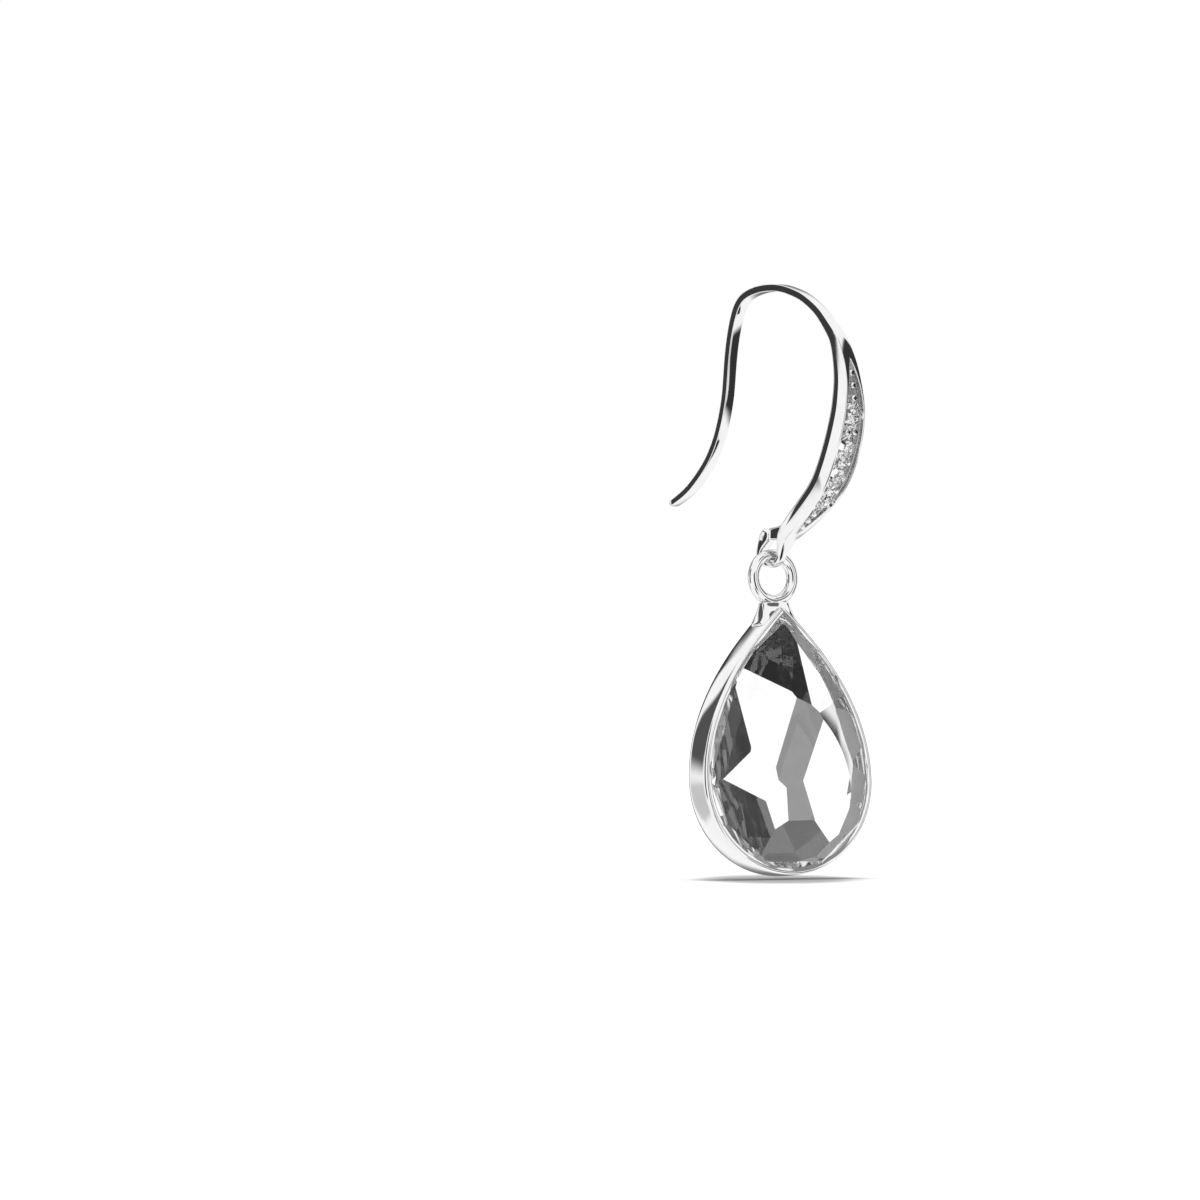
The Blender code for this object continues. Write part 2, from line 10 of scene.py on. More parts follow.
import bmesh
import bpy
from bpy.props import FloatProperty, FloatVectorProperty, IntProperty, PointerProperty
from bpy.types import Operator, Panel, PropertyGroup
from mathutils import Matrix, Vector


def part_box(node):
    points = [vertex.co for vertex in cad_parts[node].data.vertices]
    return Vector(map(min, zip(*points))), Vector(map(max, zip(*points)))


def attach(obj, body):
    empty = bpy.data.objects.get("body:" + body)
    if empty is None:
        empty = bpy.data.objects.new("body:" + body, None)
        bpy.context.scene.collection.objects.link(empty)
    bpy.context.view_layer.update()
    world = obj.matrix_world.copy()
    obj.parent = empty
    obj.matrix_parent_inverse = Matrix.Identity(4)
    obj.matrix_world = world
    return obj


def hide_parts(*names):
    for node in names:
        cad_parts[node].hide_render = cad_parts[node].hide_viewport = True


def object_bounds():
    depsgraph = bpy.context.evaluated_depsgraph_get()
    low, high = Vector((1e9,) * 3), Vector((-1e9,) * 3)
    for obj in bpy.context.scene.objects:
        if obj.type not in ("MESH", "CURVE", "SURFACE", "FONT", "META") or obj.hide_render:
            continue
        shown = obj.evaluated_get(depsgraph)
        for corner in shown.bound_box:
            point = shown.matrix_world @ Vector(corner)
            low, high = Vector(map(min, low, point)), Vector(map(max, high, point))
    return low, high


bl_info = {
    "name": "Teardrop Earring",
    "version": (1, 0, 0),
    "blender": (4, 5, 0),
    "location": "3D View > Sidebar > Earring",
    "description": "Builds a silver drop earring with a pear-cut crystal",
    "category": "Add Mesh",
}

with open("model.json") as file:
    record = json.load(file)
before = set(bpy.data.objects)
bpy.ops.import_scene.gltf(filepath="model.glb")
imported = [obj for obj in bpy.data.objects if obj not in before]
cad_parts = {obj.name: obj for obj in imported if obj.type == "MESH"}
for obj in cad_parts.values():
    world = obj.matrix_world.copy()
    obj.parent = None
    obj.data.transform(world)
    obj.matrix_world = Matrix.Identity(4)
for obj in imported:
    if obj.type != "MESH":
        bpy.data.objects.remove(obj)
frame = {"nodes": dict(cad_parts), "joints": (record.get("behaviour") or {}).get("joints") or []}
CAD_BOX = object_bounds()

MM = 0.001
UP = Vector((0.0, 0.0, 1.0))

# Hook's spine, and the loop, tab and foot at its lower end
TAIL_REACH = 7.12 * MM
TAIL_DROP = 11.80 * MM
PANEL_REACH = 5.15 * MM
LOOP_DROP = 14.37 * MM
LOOP_SETBACK = 0.14 * MM
LOOP_BORE = 0.59 * MM
LOOP_STRIP = 0.30 * MM
LOOP_OUTER = LOOP_BORE + LOOP_STRIP
TONGUE_WIDTH = 0.84 * MM
LOOP_WIDTH = 0.50 * MM
TAB_WIDTH = 0.68 * MM
FOOT_WIDTH = 0.95 * MM
LOOP_ROUNDING = 0.10 * MM

# Panel's side: how far its front part leans in as a share of the thickness, the
# thickness from which it leans, and the further thickness that eases it in
SIDE_LEAN = 0.085
LEAN_FROM = 0.46 * MM
LEAN_EASE = 0.10 * MM

# Section of the hook: largest share of a side that one rounding takes, share of the
# thickness where the side turns to lean in, half the length of that turn, and the
# share of the lean that it takes
CORNER_SHARE = 0.45
TURN_SHARE = 0.42
TURN_HALF = 0.01 * MM
TURN_LEAN = 0.03

# Channel: rounding along its upper edges, its least half width, how fast it deepens
# from its ends, and the foot of its wall and start of its floor, in roundings inwards
CHANNEL_EDGE = 0.035 * MM
CHANNEL_TIP = 0.01 * MM
CHANNEL_RAMP = 12
WALL_FOOT = 0.3
FLOOR_START = 1.5

# Channel, its beads and its stones
CHANNEL_START = 7.10 * MM
CHANNEL_TO_TONGUE = 0.57 * MM
MARQUISE_POWER = 2.3
BEAD_LIFT = 0.08 * MM
BEAD_CAP = 0.003 * MM
BEAD_ROOT = 0.10 * MM
BEAD_ROOT_SHARE = 1.06
BEAD_FOOT_SHARE = 1.02
BEAD_SPREAD = 0.33 * MM
BEAD_TO_STONE = 0.20 * MM
BEAD_TO_UPPER_POINT = 0.78 * MM
BEAD_TO_LOWER_POINT = 0.58 * MM
BEADS_IN_RUN = 3
STONE_SEAT_GAP = 0.02 * MM

# Round stone of the usual cut: radius, and the height of each part at that radius
ROUND_RADIUS = 0.80 * MM
ROUND_CROWN = 0.25 * MM
ROUND_GIRDLE = 0.05 * MM
ROUND_PAVILION = 0.46 * MM

# Teardrop outline and the bezel round it: PEAR_POWER draws the upper part to its
# point, and LOWER_SHARE of the length lies under the widest line
STONE_WIDTH = 10.25 * MM
STONE_LENGTH = 14.05 * MM
PEAR_POWER = 2.00
LOWER_SHARE = 0.352
STONE_GAP = 0.03 * MM
WALL = 0.27 * MM
RIM_FORWARD = 0.93 * MM
EYE_RADIUS = 1.25 * MM
GIRDLE_DEPTH = 0.424 * MM
FLOOR_DEPTH = 2.42 * MM
BACK_DEPTH = 2.92 * MM
DROP_SWING = math.radians(-4.2)

# Patch of the eye's underside that the neck is pulled from: half width and half depth
# in radii of the wire, and how low it lies, as a share of the eye's reach
PATCH_HALF_WIDTH = 1.1
PATCH_HALF_DEPTH = 0.7
PATCH_DOWN = 0.93

# Fineness
SPINE_STEPS = 7
SPINE_PASSES = 10
OUTLINE_STEPS = 72
BACK_CORNER_STEPS = 6
RIM_CORNER_STEPS = 4
CHANNEL_EDGE_STEPS = 3
SEAT_SIDES = 40
BEAD_SIDES = 20
ROUND_SIDES = 64
EYE_SIDES = 8
EYE_TURNS = 16
SMOOTH_ANGLE = 32.0
SETTING_SMOOTH_ANGLE = 30.0

# Points of half a section that lie in the channel, from the top of its wall to the
# middle of its floor
CHANNEL_POINTS = 5

# Distances within which points are one, or lie on a cut, and a guard for divisions
MERGE = 2e-7
TURNED_MERGE = 1e-7
EYE_MERGE = 1e-6
ON_CUT = 1e-8
TINY = 1e-12

# Back wire, tail tip to arch: back share of TAIL_REACH, down share of TAIL_DROP,
# width share and thickness share of the band
BACK_WIRE = (
    (1.000, 1.000, 0.45, 0.35),
    (0.988, 0.997, 0.80, 0.62),
    (0.960, 0.989, 0.96, 0.80),
    (0.835, 0.943, 1.00, 0.86),
    (0.727, 0.881, 1.00, 0.86),
    (0.618, 0.799, 1.00, 0.86),
    (0.546, 0.716, 1.00, 0.86),
    (0.497, 0.633, 1.00, 0.86),
    (0.453, 0.520, 1.00, 0.86),
    (0.436, 0.427, 1.00, 0.88),
    (0.419, 0.312, 1.00, 0.90),
    (0.387, 0.196, 1.00, 0.94),
    (0.342, 0.104, 1.00, 1.00),
    (0.296, 0.058, 1.00, 1.00),
    (0.240, 0.032, 1.00, 1.00),
    (0.168, 0.015, 1.00, 1.00),
    (0.086, 0.004, 1.00, 1.00),
)

# Front of the hook, arch to tongue: forward share of PANEL_REACH, down share of
# LOOP_DROP, swell of the width and of the thickness from the band's to the panel's
FRONT_PANEL = (
    (0.020, 0.000, 0.00, 0.00),
    (0.158, 0.005, 0.00, 0.00),
    (0.296, 0.020, 0.00, 0.00),
    (0.436, 0.041, 0.00, 0.00),
    (0.606, 0.085, 0.00, 0.05),
    (0.703, 0.123, 0.02, 0.10),
    (0.794, 0.164, 0.08, 0.18),
    (0.876, 0.206, 0.16, 0.33),
    (0.950, 0.282, 0.33, 0.60),
    (0.989, 0.355, 0.47, 0.77),
    (1.000, 0.424, 0.65, 0.92),
    (0.995, 0.478, 0.77, 1.00),
    (0.962, 0.545, 0.90, 1.00),
    (0.920, 0.603, 0.97, 1.00),
    (0.851, 0.674, 1.00, 1.00),
    (0.720, 0.762, 0.91, 1.00),
    (0.487, 0.845, 0.72, 0.88),
    (0.265, 0.915, 0.48, 0.62),
    (0.170, 0.950, 0.22, 0.30),
)

# Loop: angle round it from its front, the wide piece that it runs into there, and
# the share of that piece's extra width that it has
LOOP_TURNS = (
    (8, "tongue", 0.65),
    (38, "tongue", 0.10),
    (66, "tongue", 0.03),
    (90, "tongue", 0.00),
    (114, "tab", 0.10),
    (142, "tab", 0.50),
    (170, "tab", 0.90),
)

# Tab that closes the loop: back and up shares of LOOP_OUTER from the loop's centre,
# width share of TAB_WIDTH, thickness share of LOOP_STRIP
TAB = (
    (0.581, 0.465, 1.00, 1.56),
    (0.355, 0.884, 1.00, 2.45),
    (0.355, 1.206, 0.86, 1.72),
    (0.355, 1.432, 0.50, 0.31),
)

# Foot of the hook over the loop: forward, top and bottom shares of LOOP_OUTER from
# the loop's centre, width share of FOOT_WIDTH
FOOT = (
    (1.627, 1.420, 0.930, 1.20),
    (1.351, 1.617, 0.750, 1.12),
    (1.076, 1.604, 0.680, 1.05),
    (0.708, 1.506, 0.680, 1.00),
    (0.372, 1.445, 0.680, 1.00),
    (0.150, 1.396, 0.680, 0.92),
)

# Outside of the bezel, front to back: inset from its outer outline and depth behind
# its rim, in mm
BEZEL_OUTSIDE = (
    (0.314, 0.020),
    (0.254, 0.004),
    (0.194, 0.000),
    (0.139, 0.008),
    (0.094, 0.032),
    (0.059, 0.075),
    (0.034, 0.140),
    (0.020, 0.230),
    (0.010, 0.400),
    (0.002, 0.700),
    (0.000, 1.000),
    (0.004, 1.300),
    (0.014, 1.560),
    (0.032, 1.710),
    (0.069, 1.830),
    (0.129, 1.920),
    (0.214, 1.985),
)

# Domed back: scale of the outline, share of the way from the wall's end to the back
BEZEL_DOME = (
    (0.920, 0.26),
    (0.860, 0.42),
    (0.780, 0.59),
    (0.680, 0.74),
    (0.560, 0.86),
    (0.430, 0.935),
    (0.290, 0.98),
    (0.140, 1.00),
    (0.040, 1.00),
)

# Pocket in the bezel, mouth to seat: inset from the girdle's outline and depth, mm
POCKET_MOUTH = (
    (0.020, -0.060),
    (0.065, -0.012),
    (0.100, 0.004),
    (0.122, 0.026),
    (0.134, 0.060),
    (0.140, 0.110),
    (0.140, 0.220),
    (0.000, 0.394),
    (0.000, 0.634),
)

# Seat of a round stone: share of its radius and depth under its table, in mm
SEAT = (
    (0.00, -0.20),
    (1.00, -0.20),
    (1.00, 0.36),
    (0.55, 0.62),
    (0.20, 0.80),
    (0.00, 0.80),
)

# Bead: angles of its dome's rings, and its nearly flat cap as shares of the last
# ring's radius and of BEAD_CAP
BEAD_DOME = (0, 16, 32, 48, 56)
BEAD_TOP = (
    (0.6, 0.70),
    (0.3, 0.95),
    (0.0, 1.00),
)

# Bowl under the stone: scale of the girdle's outline, share of the way to the floor
BOWL = (
    (0.93, 0.62),
    (0.76, 0.83),
    (0.50, 0.95),
    (0.22, 1.00),
)

# Neck below the eye: depth under the eye's centre, half width and half depth, in mm
NECK = (
    (1.28, 0.860, 0.400),
    (1.52, 0.860, 0.480),
    (1.80, 0.920, 0.640),
    (2.10, 1.020, 0.780),
    (2.42, 1.200, 0.820),
    (2.80, 1.450, 0.830),
)

# Back facets of the crystal: the facet's level at the middle in mm, and how steeply
# it deepens to the right and upwards
FOIL_FACETS = (
    (1.190, 0.020, -0.262),
    (1.330, -0.110, -0.262),
    (1.880, -0.260, -0.310),
    (0.130, 0.100, -0.060),
    (0.190, 0.150, -0.045),
    (0.000, 0.100, 0.020),
    (0.031, 0.074, -0.030),
    (0.000, 0.000, 0.000),
    (0.146, -0.090, 0.040),
    (0.035, -0.020, 0.060),
    (0.000, 0.050, 0.060),
    (0.347, -0.020, 0.200),
    (0.100, 0.128, 0.085),
    (0.260, 0.133, 0.125),
    (0.431, -0.140, 0.120),
)

# Crown of the crystal: turn of each facet from the top, and how far in it may run
CROWN_TURNS = (38, 70, 104, 140, 180, 220, 256, 290, 322)
CROWN_RUN = 0.42 * MM

# Back of the crystal: depth of its middle behind the girdle, how steep the bevels
# round it are, the turn of each from the top, and the turn from which they are matt
FOIL_DEPTH = 1.50 * MM
FOIL_BEVEL = 2.4
FOIL_BEVEL_TURNS = range(0, 360, 24)
SOFT_BEVEL_FROM = 70

# The crystal is cut from a blank this many times as deep as its back, and is foiled
# from this many girdle heights on
BLANK_SHARE = 1.1
BEHIND_GIRDLE = 1.02

# Refractive index and tint of the stones, and the foil's darkest and lightest tints
ACCENT_INDEX = 1.85
ACCENT_TINT = (0.98, 0.98, 0.985)
CRYSTAL_INDEX = 1.54
CRYSTAL_TINT = (1.0, 1.0, 1.0)
FOIL_DULL = (0.93, 0.93, 0.935)
FOIL_BRIGHT = (0.99, 0.99, 0.99)
SOFT_FOIL_HAZE = 0.55

# Places of the finishes on the hook and on the stones
CHANNEL_FINISH = 1
CLEAR, FOIL, SOFT_FOIL = range(3)

# Studio seen in the silver and the stones: azimuth and elevation of each card,
# half its width and height in degrees, softness of its edge, brightness
CARDS = (
    ("behind", 129, 0, 30, 30, 0.50, 0.20),
    ("left_back", -130, 8, 13, 22, 0.16, 0.05),
    ("left_wall", -167, 22, 12, 18, 0.30, 0.10),
    ("left_wall_low", -167, -14, 12, 12, 0.30, 0.70),
    ("front", 12, 7, 7, 18, 0.10, 0.30),
    ("low_front", 24, -42, 28, 13, 0.05, 0.012),
    ("high_front", 4, 44, 20, 9, 0.04, 0.16),
    ("back", 150, 8, 14, 20, 0.25, 0.05),
    ("right_front", 60, 8, 15, 24, 0.10, 0.04),
    ("right_side", -35, 0, 15, 18, 0.25, 0.06),
    ("low_left", -62, -34, 9, 12, 0.12, 0.10),
)

# Camera: the photograph's own view of this earring, and how far left of the hook's
# arch and under it the middle of the picture lies
VIEW_AZIMUTH = math.radians(-51.0)
VIEW_DISTANCE = 0.60
VIEW_LENS = 330.0
SENSOR_WIDTH = 36.0
PHOTO_MIDDLE_LEFT = 9.48 * MM
PHOTO_MIDDLE_DOWN = 16.83 * MM

# Floor and lamp: the painted shade in the floor's colour, which stands in for the drop's
# shadow, is full inside its core and gone at its edge, both on the square of the
# distance from its middle in half sizes
FLOOR_GAP = 0.12 * MM
FLOOR_HALF = 4.0
PAINTED_SHADE_HALF_WIDTH = 4.6 * MM
PAINTED_SHADE_HALF_DEPTH = 11.0 * MM
PAINTED_SHADE_CORE = 0.30
PAINTED_SHADE_EDGE = 1.25
OVERHEAD_ANGLE = math.radians(32.0)
OVERHEAD_HEIGHT = 0.65


class EarringSizes(PropertyGroup):
    """Sizes of the hook, its channel and the drop's eye."""

    band_width: FloatProperty(
        name="Band Width", description="Width of the wire that goes through the ear",
        default=0.74 * MM, unit="LENGTH", precision=5)
    band_thickness: FloatProperty(
        name="Band Thickness", description="Thickness of the wire at the top of the arch",
        default=0.40 * MM, unit="LENGTH", precision=5)
    band_rounding: FloatProperty(
        name="Band Rounding", description="Radius along the edges of the wire",
        default=0.045 * MM, unit="LENGTH", precision=5)
    panel_width: FloatProperty(
        name="Panel Width", description="Width of the front panel at its widest",
        default=2.36 * MM, unit="LENGTH", precision=5)
    panel_thickness: FloatProperty(
        name="Panel Thickness", description="Thickness of the front panel",
        default=1.00 * MM, unit="LENGTH", precision=5)
    panel_back_rounding: FloatProperty(
        name="Panel Back Rounding", description="Radius along the back edges of the panel",
        default=0.12 * MM, unit="LENGTH", precision=5)
    rim_rounding: FloatProperty(
        name="Rim Rounding", description="Radius along the outer edges of the panel's face",
        default=0.07 * MM, unit="LENGTH", precision=5)
    rim_width: FloatProperty(
        name="Rim Width", description="Polished rim left on each side of the channel",
        default=0.27 * MM, unit="LENGTH", precision=5)
    channel_depth: FloatProperty(
        name="Channel Depth", description="Depth of the channel under the panel's face",
        default=0.24 * MM, unit="LENGTH", precision=5)
    bead_diameter: FloatProperty(
        name="Bead Diameter", description="Diameter of the beads between the stones",
        default=0.40 * MM, unit="LENGTH", precision=5)
    eye_wire: FloatProperty(
        name="Eye Wire", description="Thickness of the drop's round eye",
        default=0.62 * MM, unit="LENGTH", precision=5)


class StoneCut(PropertyGroup):
    """Cut of the crystal and of the round stones."""

    table_share: FloatProperty(
        name="Crystal Table", description="Size of the crystal's table as a share of its outline",
        default=0.80, min=0.3, max=0.9, subtype="FACTOR")
    crown_height: FloatProperty(
        name="Crystal Crown", description="Height of the crystal's crown over its girdle",
        default=0.60 * MM, unit="LENGTH", precision=5)
    girdle_height: FloatProperty(
        name="Crystal Girdle", description="Thickness of the crystal's girdle",
        default=0.18 * MM, unit="LENGTH", precision=5)
    crown_facets: IntProperty(
        name="Round Stone Facets", description="Main facets round each channel stone",
        default=8, min=6, max=16)


class MetalLook(PropertyGroup):
    """Finish of the silver."""

    silver: FloatVectorProperty(
        name="Silver", description="Colour of the polished silver",
        default=(0.80, 0.80, 0.805), subtype="COLOR", min=0.0, max=1.0)
    channel_silver: FloatVectorProperty(
        name="Channel Silver", description="Colour of the matt channel floor",
        default=(0.60, 0.60, 0.61), subtype="COLOR", min=0.0, max=1.0)
    polish: FloatProperty(
        name="Polish Roughness", description="Roughness of the polished silver",
        default=0.05, min=0.0, max=1.0, subtype="FACTOR")
    matt: FloatProperty(
        name="Channel Roughness", description="Roughness of the channel floor",
        default=0.34, min=0.0, max=1.0, subtype="FACTOR")


class StageLook(PropertyGroup):
    """Floor and lights."""

    floor_colour: FloatVectorProperty(
        name="Floor", description="Colour of the plain floor",
        default=(0.62, 0.62, 0.62), subtype="COLOR", min=0.0, max=1.0)
    overhead_power: FloatProperty(
        name="Overhead Power", description="Strength of the broad light above the earring",
        default=3.4, min=0.0)
    # Depth of the painted shade in the floor's colour under the drop, a stand-in for its shadow
    shade: FloatProperty(
        name="Shade", description="Depth of the soft shade on the floor under the drop",
        default=0.52, min=0.0, max=1.0, subtype="FACTOR")
    tent_brightness: FloatProperty(
        name="Tent Brightness", description="Brightness of the white tent in reflections",
        default=1.15, min=0.0)
    room_light: FloatProperty(
        name="Room Light", description="Share of the tent's light that falls on matt things",
        default=0.85, min=0.0, max=4.0)


def wire(tree, output, target):
    """Join two sockets, or write a plain value into one."""
    if isinstance(output, bpy.types.NodeSocket):
        tree.links.new(output, target)
    else:
        target.default_value = output


def maths(tree, operation, one, two=0.0):
    """Scalar step in a node tree."""
    node = tree.nodes.new("ShaderNodeMath")
    node.operation = operation
    wire(tree, one, node.inputs[0])
    wire(tree, two, node.inputs[1])
    return node.outputs[0]


def along(tree, direction, axis):
    """How far a direction points along an axis."""
    node = tree.nodes.new("ShaderNodeVectorMath")
    node.operation = "DOT_PRODUCT"
    wire(tree, direction, node.inputs[0])
    node.inputs[1].default_value = axis
    return node.outputs["Value"]


def ranged(tree, value, low, high, start, end):
    """Smooth step of a value from one range to another."""
    node = tree.nodes.new("ShaderNodeMapRange")
    node.interpolation_type = "SMOOTHSTEP"
    wire(tree, value, node.inputs["Value"])
    limits = {"From Min": low, "From Max": high, "To Min": start, "To Max": end}
    for name, number in limits.items():
        node.inputs[name].default_value = number
    return node.outputs["Result"]


def noise(tree, coordinates, scale, detail=2.0, stretch=None):
    """Noise at a scale of so many cells to a metre."""
    node = tree.nodes.new("ShaderNodeTexNoise")
    node.inputs["Scale"].default_value = scale
    node.inputs["Detail"].default_value = detail
    if stretch:
        place = tree.nodes.new("ShaderNodeMapping")
        place.inputs["Scale"].default_value = stretch
        wire(tree, coordinates, place.inputs["Vector"])
        coordinates = place.outputs["Vector"]
    wire(tree, coordinates, node.inputs["Vector"])
    return node.outputs["Fac"]


def ramp(tree, value, dark, light, low=0.35, high=0.65):
    """Colour between two tints along a value."""
    node = tree.nodes.new("ShaderNodeValToRGB")
    node.color_ramp.elements[0].position = low
    node.color_ramp.elements[0].color = (*dark, 1.0)
    node.color_ramp.elements[1].position = high
    node.color_ramp.elements[1].color = (*light, 1.0)
    wire(tree, value, node.inputs["Fac"])
    return node.outputs["Color"]


def bumped(tree, height, strength, distance):
    """Surface relief from a height."""
    node = tree.nodes.new("ShaderNodeBump")
    node.inputs["Strength"].default_value = strength
    node.inputs["Distance"].default_value = distance
    wire(tree, height, node.inputs["Height"])
    return node.outputs["Normal"]


def new_finish(name):
    """Material with its shader, its tree and its object coordinates."""
    finish = bpy.data.materials.get(name) or bpy.data.materials.new(name)
    finish.use_nodes = True
    tree = finish.node_tree
    tree.nodes.clear()
    shader = tree.nodes.new("ShaderNodeBsdfPrincipled")
    output = tree.nodes.new("ShaderNodeOutputMaterial")
    tree.links.new(shader.outputs["BSDF"], output.inputs["Surface"])
    place = tree.nodes.new("ShaderNodeTexCoord")
    return finish, tree, shader, place.outputs["Object"]


def polished_silver(look):
    """Mirror-polished silver with faint haze and hairline wear."""
    finish, tree, shader, place = new_finish("polished_silver")
    shader.inputs["Metallic"].default_value = 1.0
    base = Vector(look.silver)
    haze = noise(tree, place, scale=900.0, detail=4.0)
    tree.links.new(ramp(tree, haze, base * 0.955, base), shader.inputs["Base Color"])
    smear = noise(tree, place, scale=2600.0, detail=3.0, stretch=(1.0, 0.35, 0.35))
    rough = ranged(tree, smear, low=0.3, high=0.75, start=look.polish * 0.6, end=look.polish * 1.7)
    tree.links.new(rough, shader.inputs["Roughness"])
    waves = noise(tree, place, scale=420.0, detail=1.0, stretch=(1.0, 1.0, 0.45))
    hairlines = noise(tree, place, scale=9000.0, detail=2.0, stretch=(0.12, 1.0, 0.45))
    height = maths(tree, "ADD", waves, maths(tree, "MULTIPLY", hairlines, 0.001))
    relief = bumped(tree, height, strength=1.0, distance=0.10 * MM)
    tree.links.new(relief, shader.inputs["Normal"])
    return finish


def channel_silver(look):
    """Matt, slightly pitted floor of the channel, its colour darker in the pits of its grain."""
    finish, tree, shader, place = new_finish("channel_silver")
    shader.inputs["Metallic"].default_value = 1.0
    base = Vector(look.channel_silver)
    grain = noise(tree, place, scale=14000.0, detail=5.0)
    tint = ramp(tree, grain, base * 0.55, base * 1.25, low=0.30, high=0.70)
    tree.links.new(tint, shader.inputs["Base Color"])
    rough = ranged(tree, grain, low=0.3, high=0.7, start=look.matt * 0.7, end=look.matt * 1.25)
    tree.links.new(rough, shader.inputs["Roughness"])
    relief = bumped(tree, grain, strength=0.55, distance=0.02 * MM)
    tree.links.new(relief, shader.inputs["Normal"])
    return finish


def clear_stone(name, index, tint):
    """Clear cut stone, with a trace of unevenness in its colour."""
    finish, tree, shader, place = new_finish(name)
    shader.inputs["IOR"].default_value = index
    shader.inputs["Transmission Weight"].default_value = 1.0
    shader.inputs["Roughness"].default_value = 0.0
    veil = noise(tree, place, scale=500.0)
    clear = Vector(tint)
    tree.links.new(ramp(tree, veil, clear * 0.985, clear), shader.inputs["Base Color"])
    return finish


def mirror_foil(name="mirror_foil", haze=0.0, metallic=1.0):
    """Foil on the back facets, a little cloudy where it is unevenly bonded."""
    finish, tree, shader, place = new_finish(name)
    shader.inputs["Metallic"].default_value = metallic
    cloud = noise(tree, place, scale=700.0, detail=5.0)
    tint = ramp(tree, cloud, FOIL_DULL, FOIL_BRIGHT, low=0.30, high=0.62)
    tree.links.new(tint, shader.inputs["Base Color"])
    rough = ranged(tree, cloud, low=0.52, high=0.75, start=haze, end=haze + 0.08)
    tree.links.new(rough, shader.inputs["Roughness"])
    return finish


def pairs_round(ring):
    """Each point of a ring with the next one."""
    return zip(ring, ring[1:] + ring[:1])


def ring_start(points):
    """Bmesh with one closed ring of edges."""
    bm = bmesh.new()
    ring = [bm.verts.new(point) for point in points]
    for pair in pairs_round(ring):
        bm.edges.new(pair)
    return bm, ring


def pull_ring(bm, ring, points):
    """Extrude a ring of edges and move the new ring to its points."""
    edges = [bm.edges.get(pair) for pair in pairs_round(ring)]
    made = bmesh.ops.extrude_edge_only(bm, edges=edges)["geom"]
    fresh = {item for item in made if isinstance(item, bmesh.types.BMVert)}
    moved = []
    for old, point in zip(ring, points):
        for edge in old.link_edges:
            new = edge.other_vert(old)
            if new in fresh:
                new.co = point
                moved.append(new)
                break
    return moved


def close_ring(bm, ring):
    """Fill a ring with one face."""
    bmesh.ops.contextual_create(bm, geom=[bm.edges.get(pair) for pair in pairs_round(ring)])


def drawn_out(rings):
    """Closed body through rings that are extruded one from the other."""
    bm, ring = ring_start(rings[0])
    close_ring(bm, ring)
    for points in rings[1:]:
        ring = pull_ring(bm, ring, points)
    close_ring(bm, ring)
    bmesh.ops.recalc_face_normals(bm, faces=bm.faces)
    return bm


def spin_round(bm, geometry, steps, merge):
    """Spin points and edges right round the Y axis and close the seam."""
    bmesh.ops.spin(
        bm, geom=geometry, cent=(0.0, 0.0, 0.0), axis=(0.0, 1.0, 0.0), dvec=(0.0, 0.0, 0.0),
        angle=2 * math.pi, steps=steps, use_merge=True, use_duplicate=False,
    )
    bmesh.ops.remove_doubles(bm, verts=bm.verts, dist=merge)
    bmesh.ops.recalc_face_normals(bm, faces=bm.faces)


def turned(profile, sides):
    """Body turned about the Y axis from radius and depth pairs that end on the axis."""
    bm = bmesh.new()
    verts = [bm.verts.new((radius, depth, 0.0)) for radius, depth in profile]
    edges = [bm.edges.new(pair) for pair in zip(verts, verts[1:])]
    spin_round(bm, verts + edges, sides, TURNED_MERGE)
    return bm


def placed(name, data):
    """Object of a mesh, camera or lamp, in the scene."""
    thing = bpy.data.objects.new(name, data)
    bpy.context.scene.collection.objects.link(thing)
    return thing


def new_piece(name, bm, finishes=(), smooth_angle=SMOOTH_ANGLE):
    """Object of a bmesh, shaded smooth up to an angle."""
    mesh = bpy.data.meshes.new(name)
    bm.to_mesh(mesh)
    bm.free()
    for finish in finishes:
        mesh.materials.append(finish)
    if smooth_angle:
        mesh.shade_smooth()
        mesh.set_sharp_from_angle(angle=math.radians(smooth_angle))
    return placed(name, mesh)


def combined(piece, steps):
    """Apply a piece's modifiers and Boolean steps, each a tool and what to do with it."""
    for tool, operation in steps:
        modifier = piece.modifiers.new(tool.name, "BOOLEAN")
        modifier.object = tool
        modifier.operation = operation
        modifier.solver = "MANIFOLD"
    bpy.context.view_layer.update()
    graph = bpy.context.evaluated_depsgraph_get()
    mesh = bpy.data.meshes.new_from_object(piece.evaluated_get(graph))
    piece.modifiers.clear()
    old = piece.data
    piece.data = mesh
    bpy.data.meshes.remove(old)
    for tool, _ in steps:
        bpy.data.objects.remove(tool)
    return piece


def tidy_normals(piece, smooth_angle):
    """Merge doubles, and shade smooth up to an angle."""
    bm = bmesh.new()
    bm.from_mesh(piece.data)
    bmesh.ops.remove_doubles(bm, verts=bm.verts, dist=MERGE)
    bmesh.ops.dissolve_degenerate(bm, edges=bm.edges, dist=MERGE)
    bmesh.ops.recalc_face_normals(bm, faces=bm.faces)
    bm.to_mesh(piece.data)
    bm.free()
    piece.data.shade_smooth()
    piece.data.set_sharp_from_angle(angle=math.radians(smooth_angle))


def on_curve(a, b, c, d, t):
    """Number at t between b and c, on the smooth curve through all four."""
    return b + t * (c - a + t * (2 * a - 5 * b + 4 * c - d + t * (3 * (b - c) + d - a))) / 2


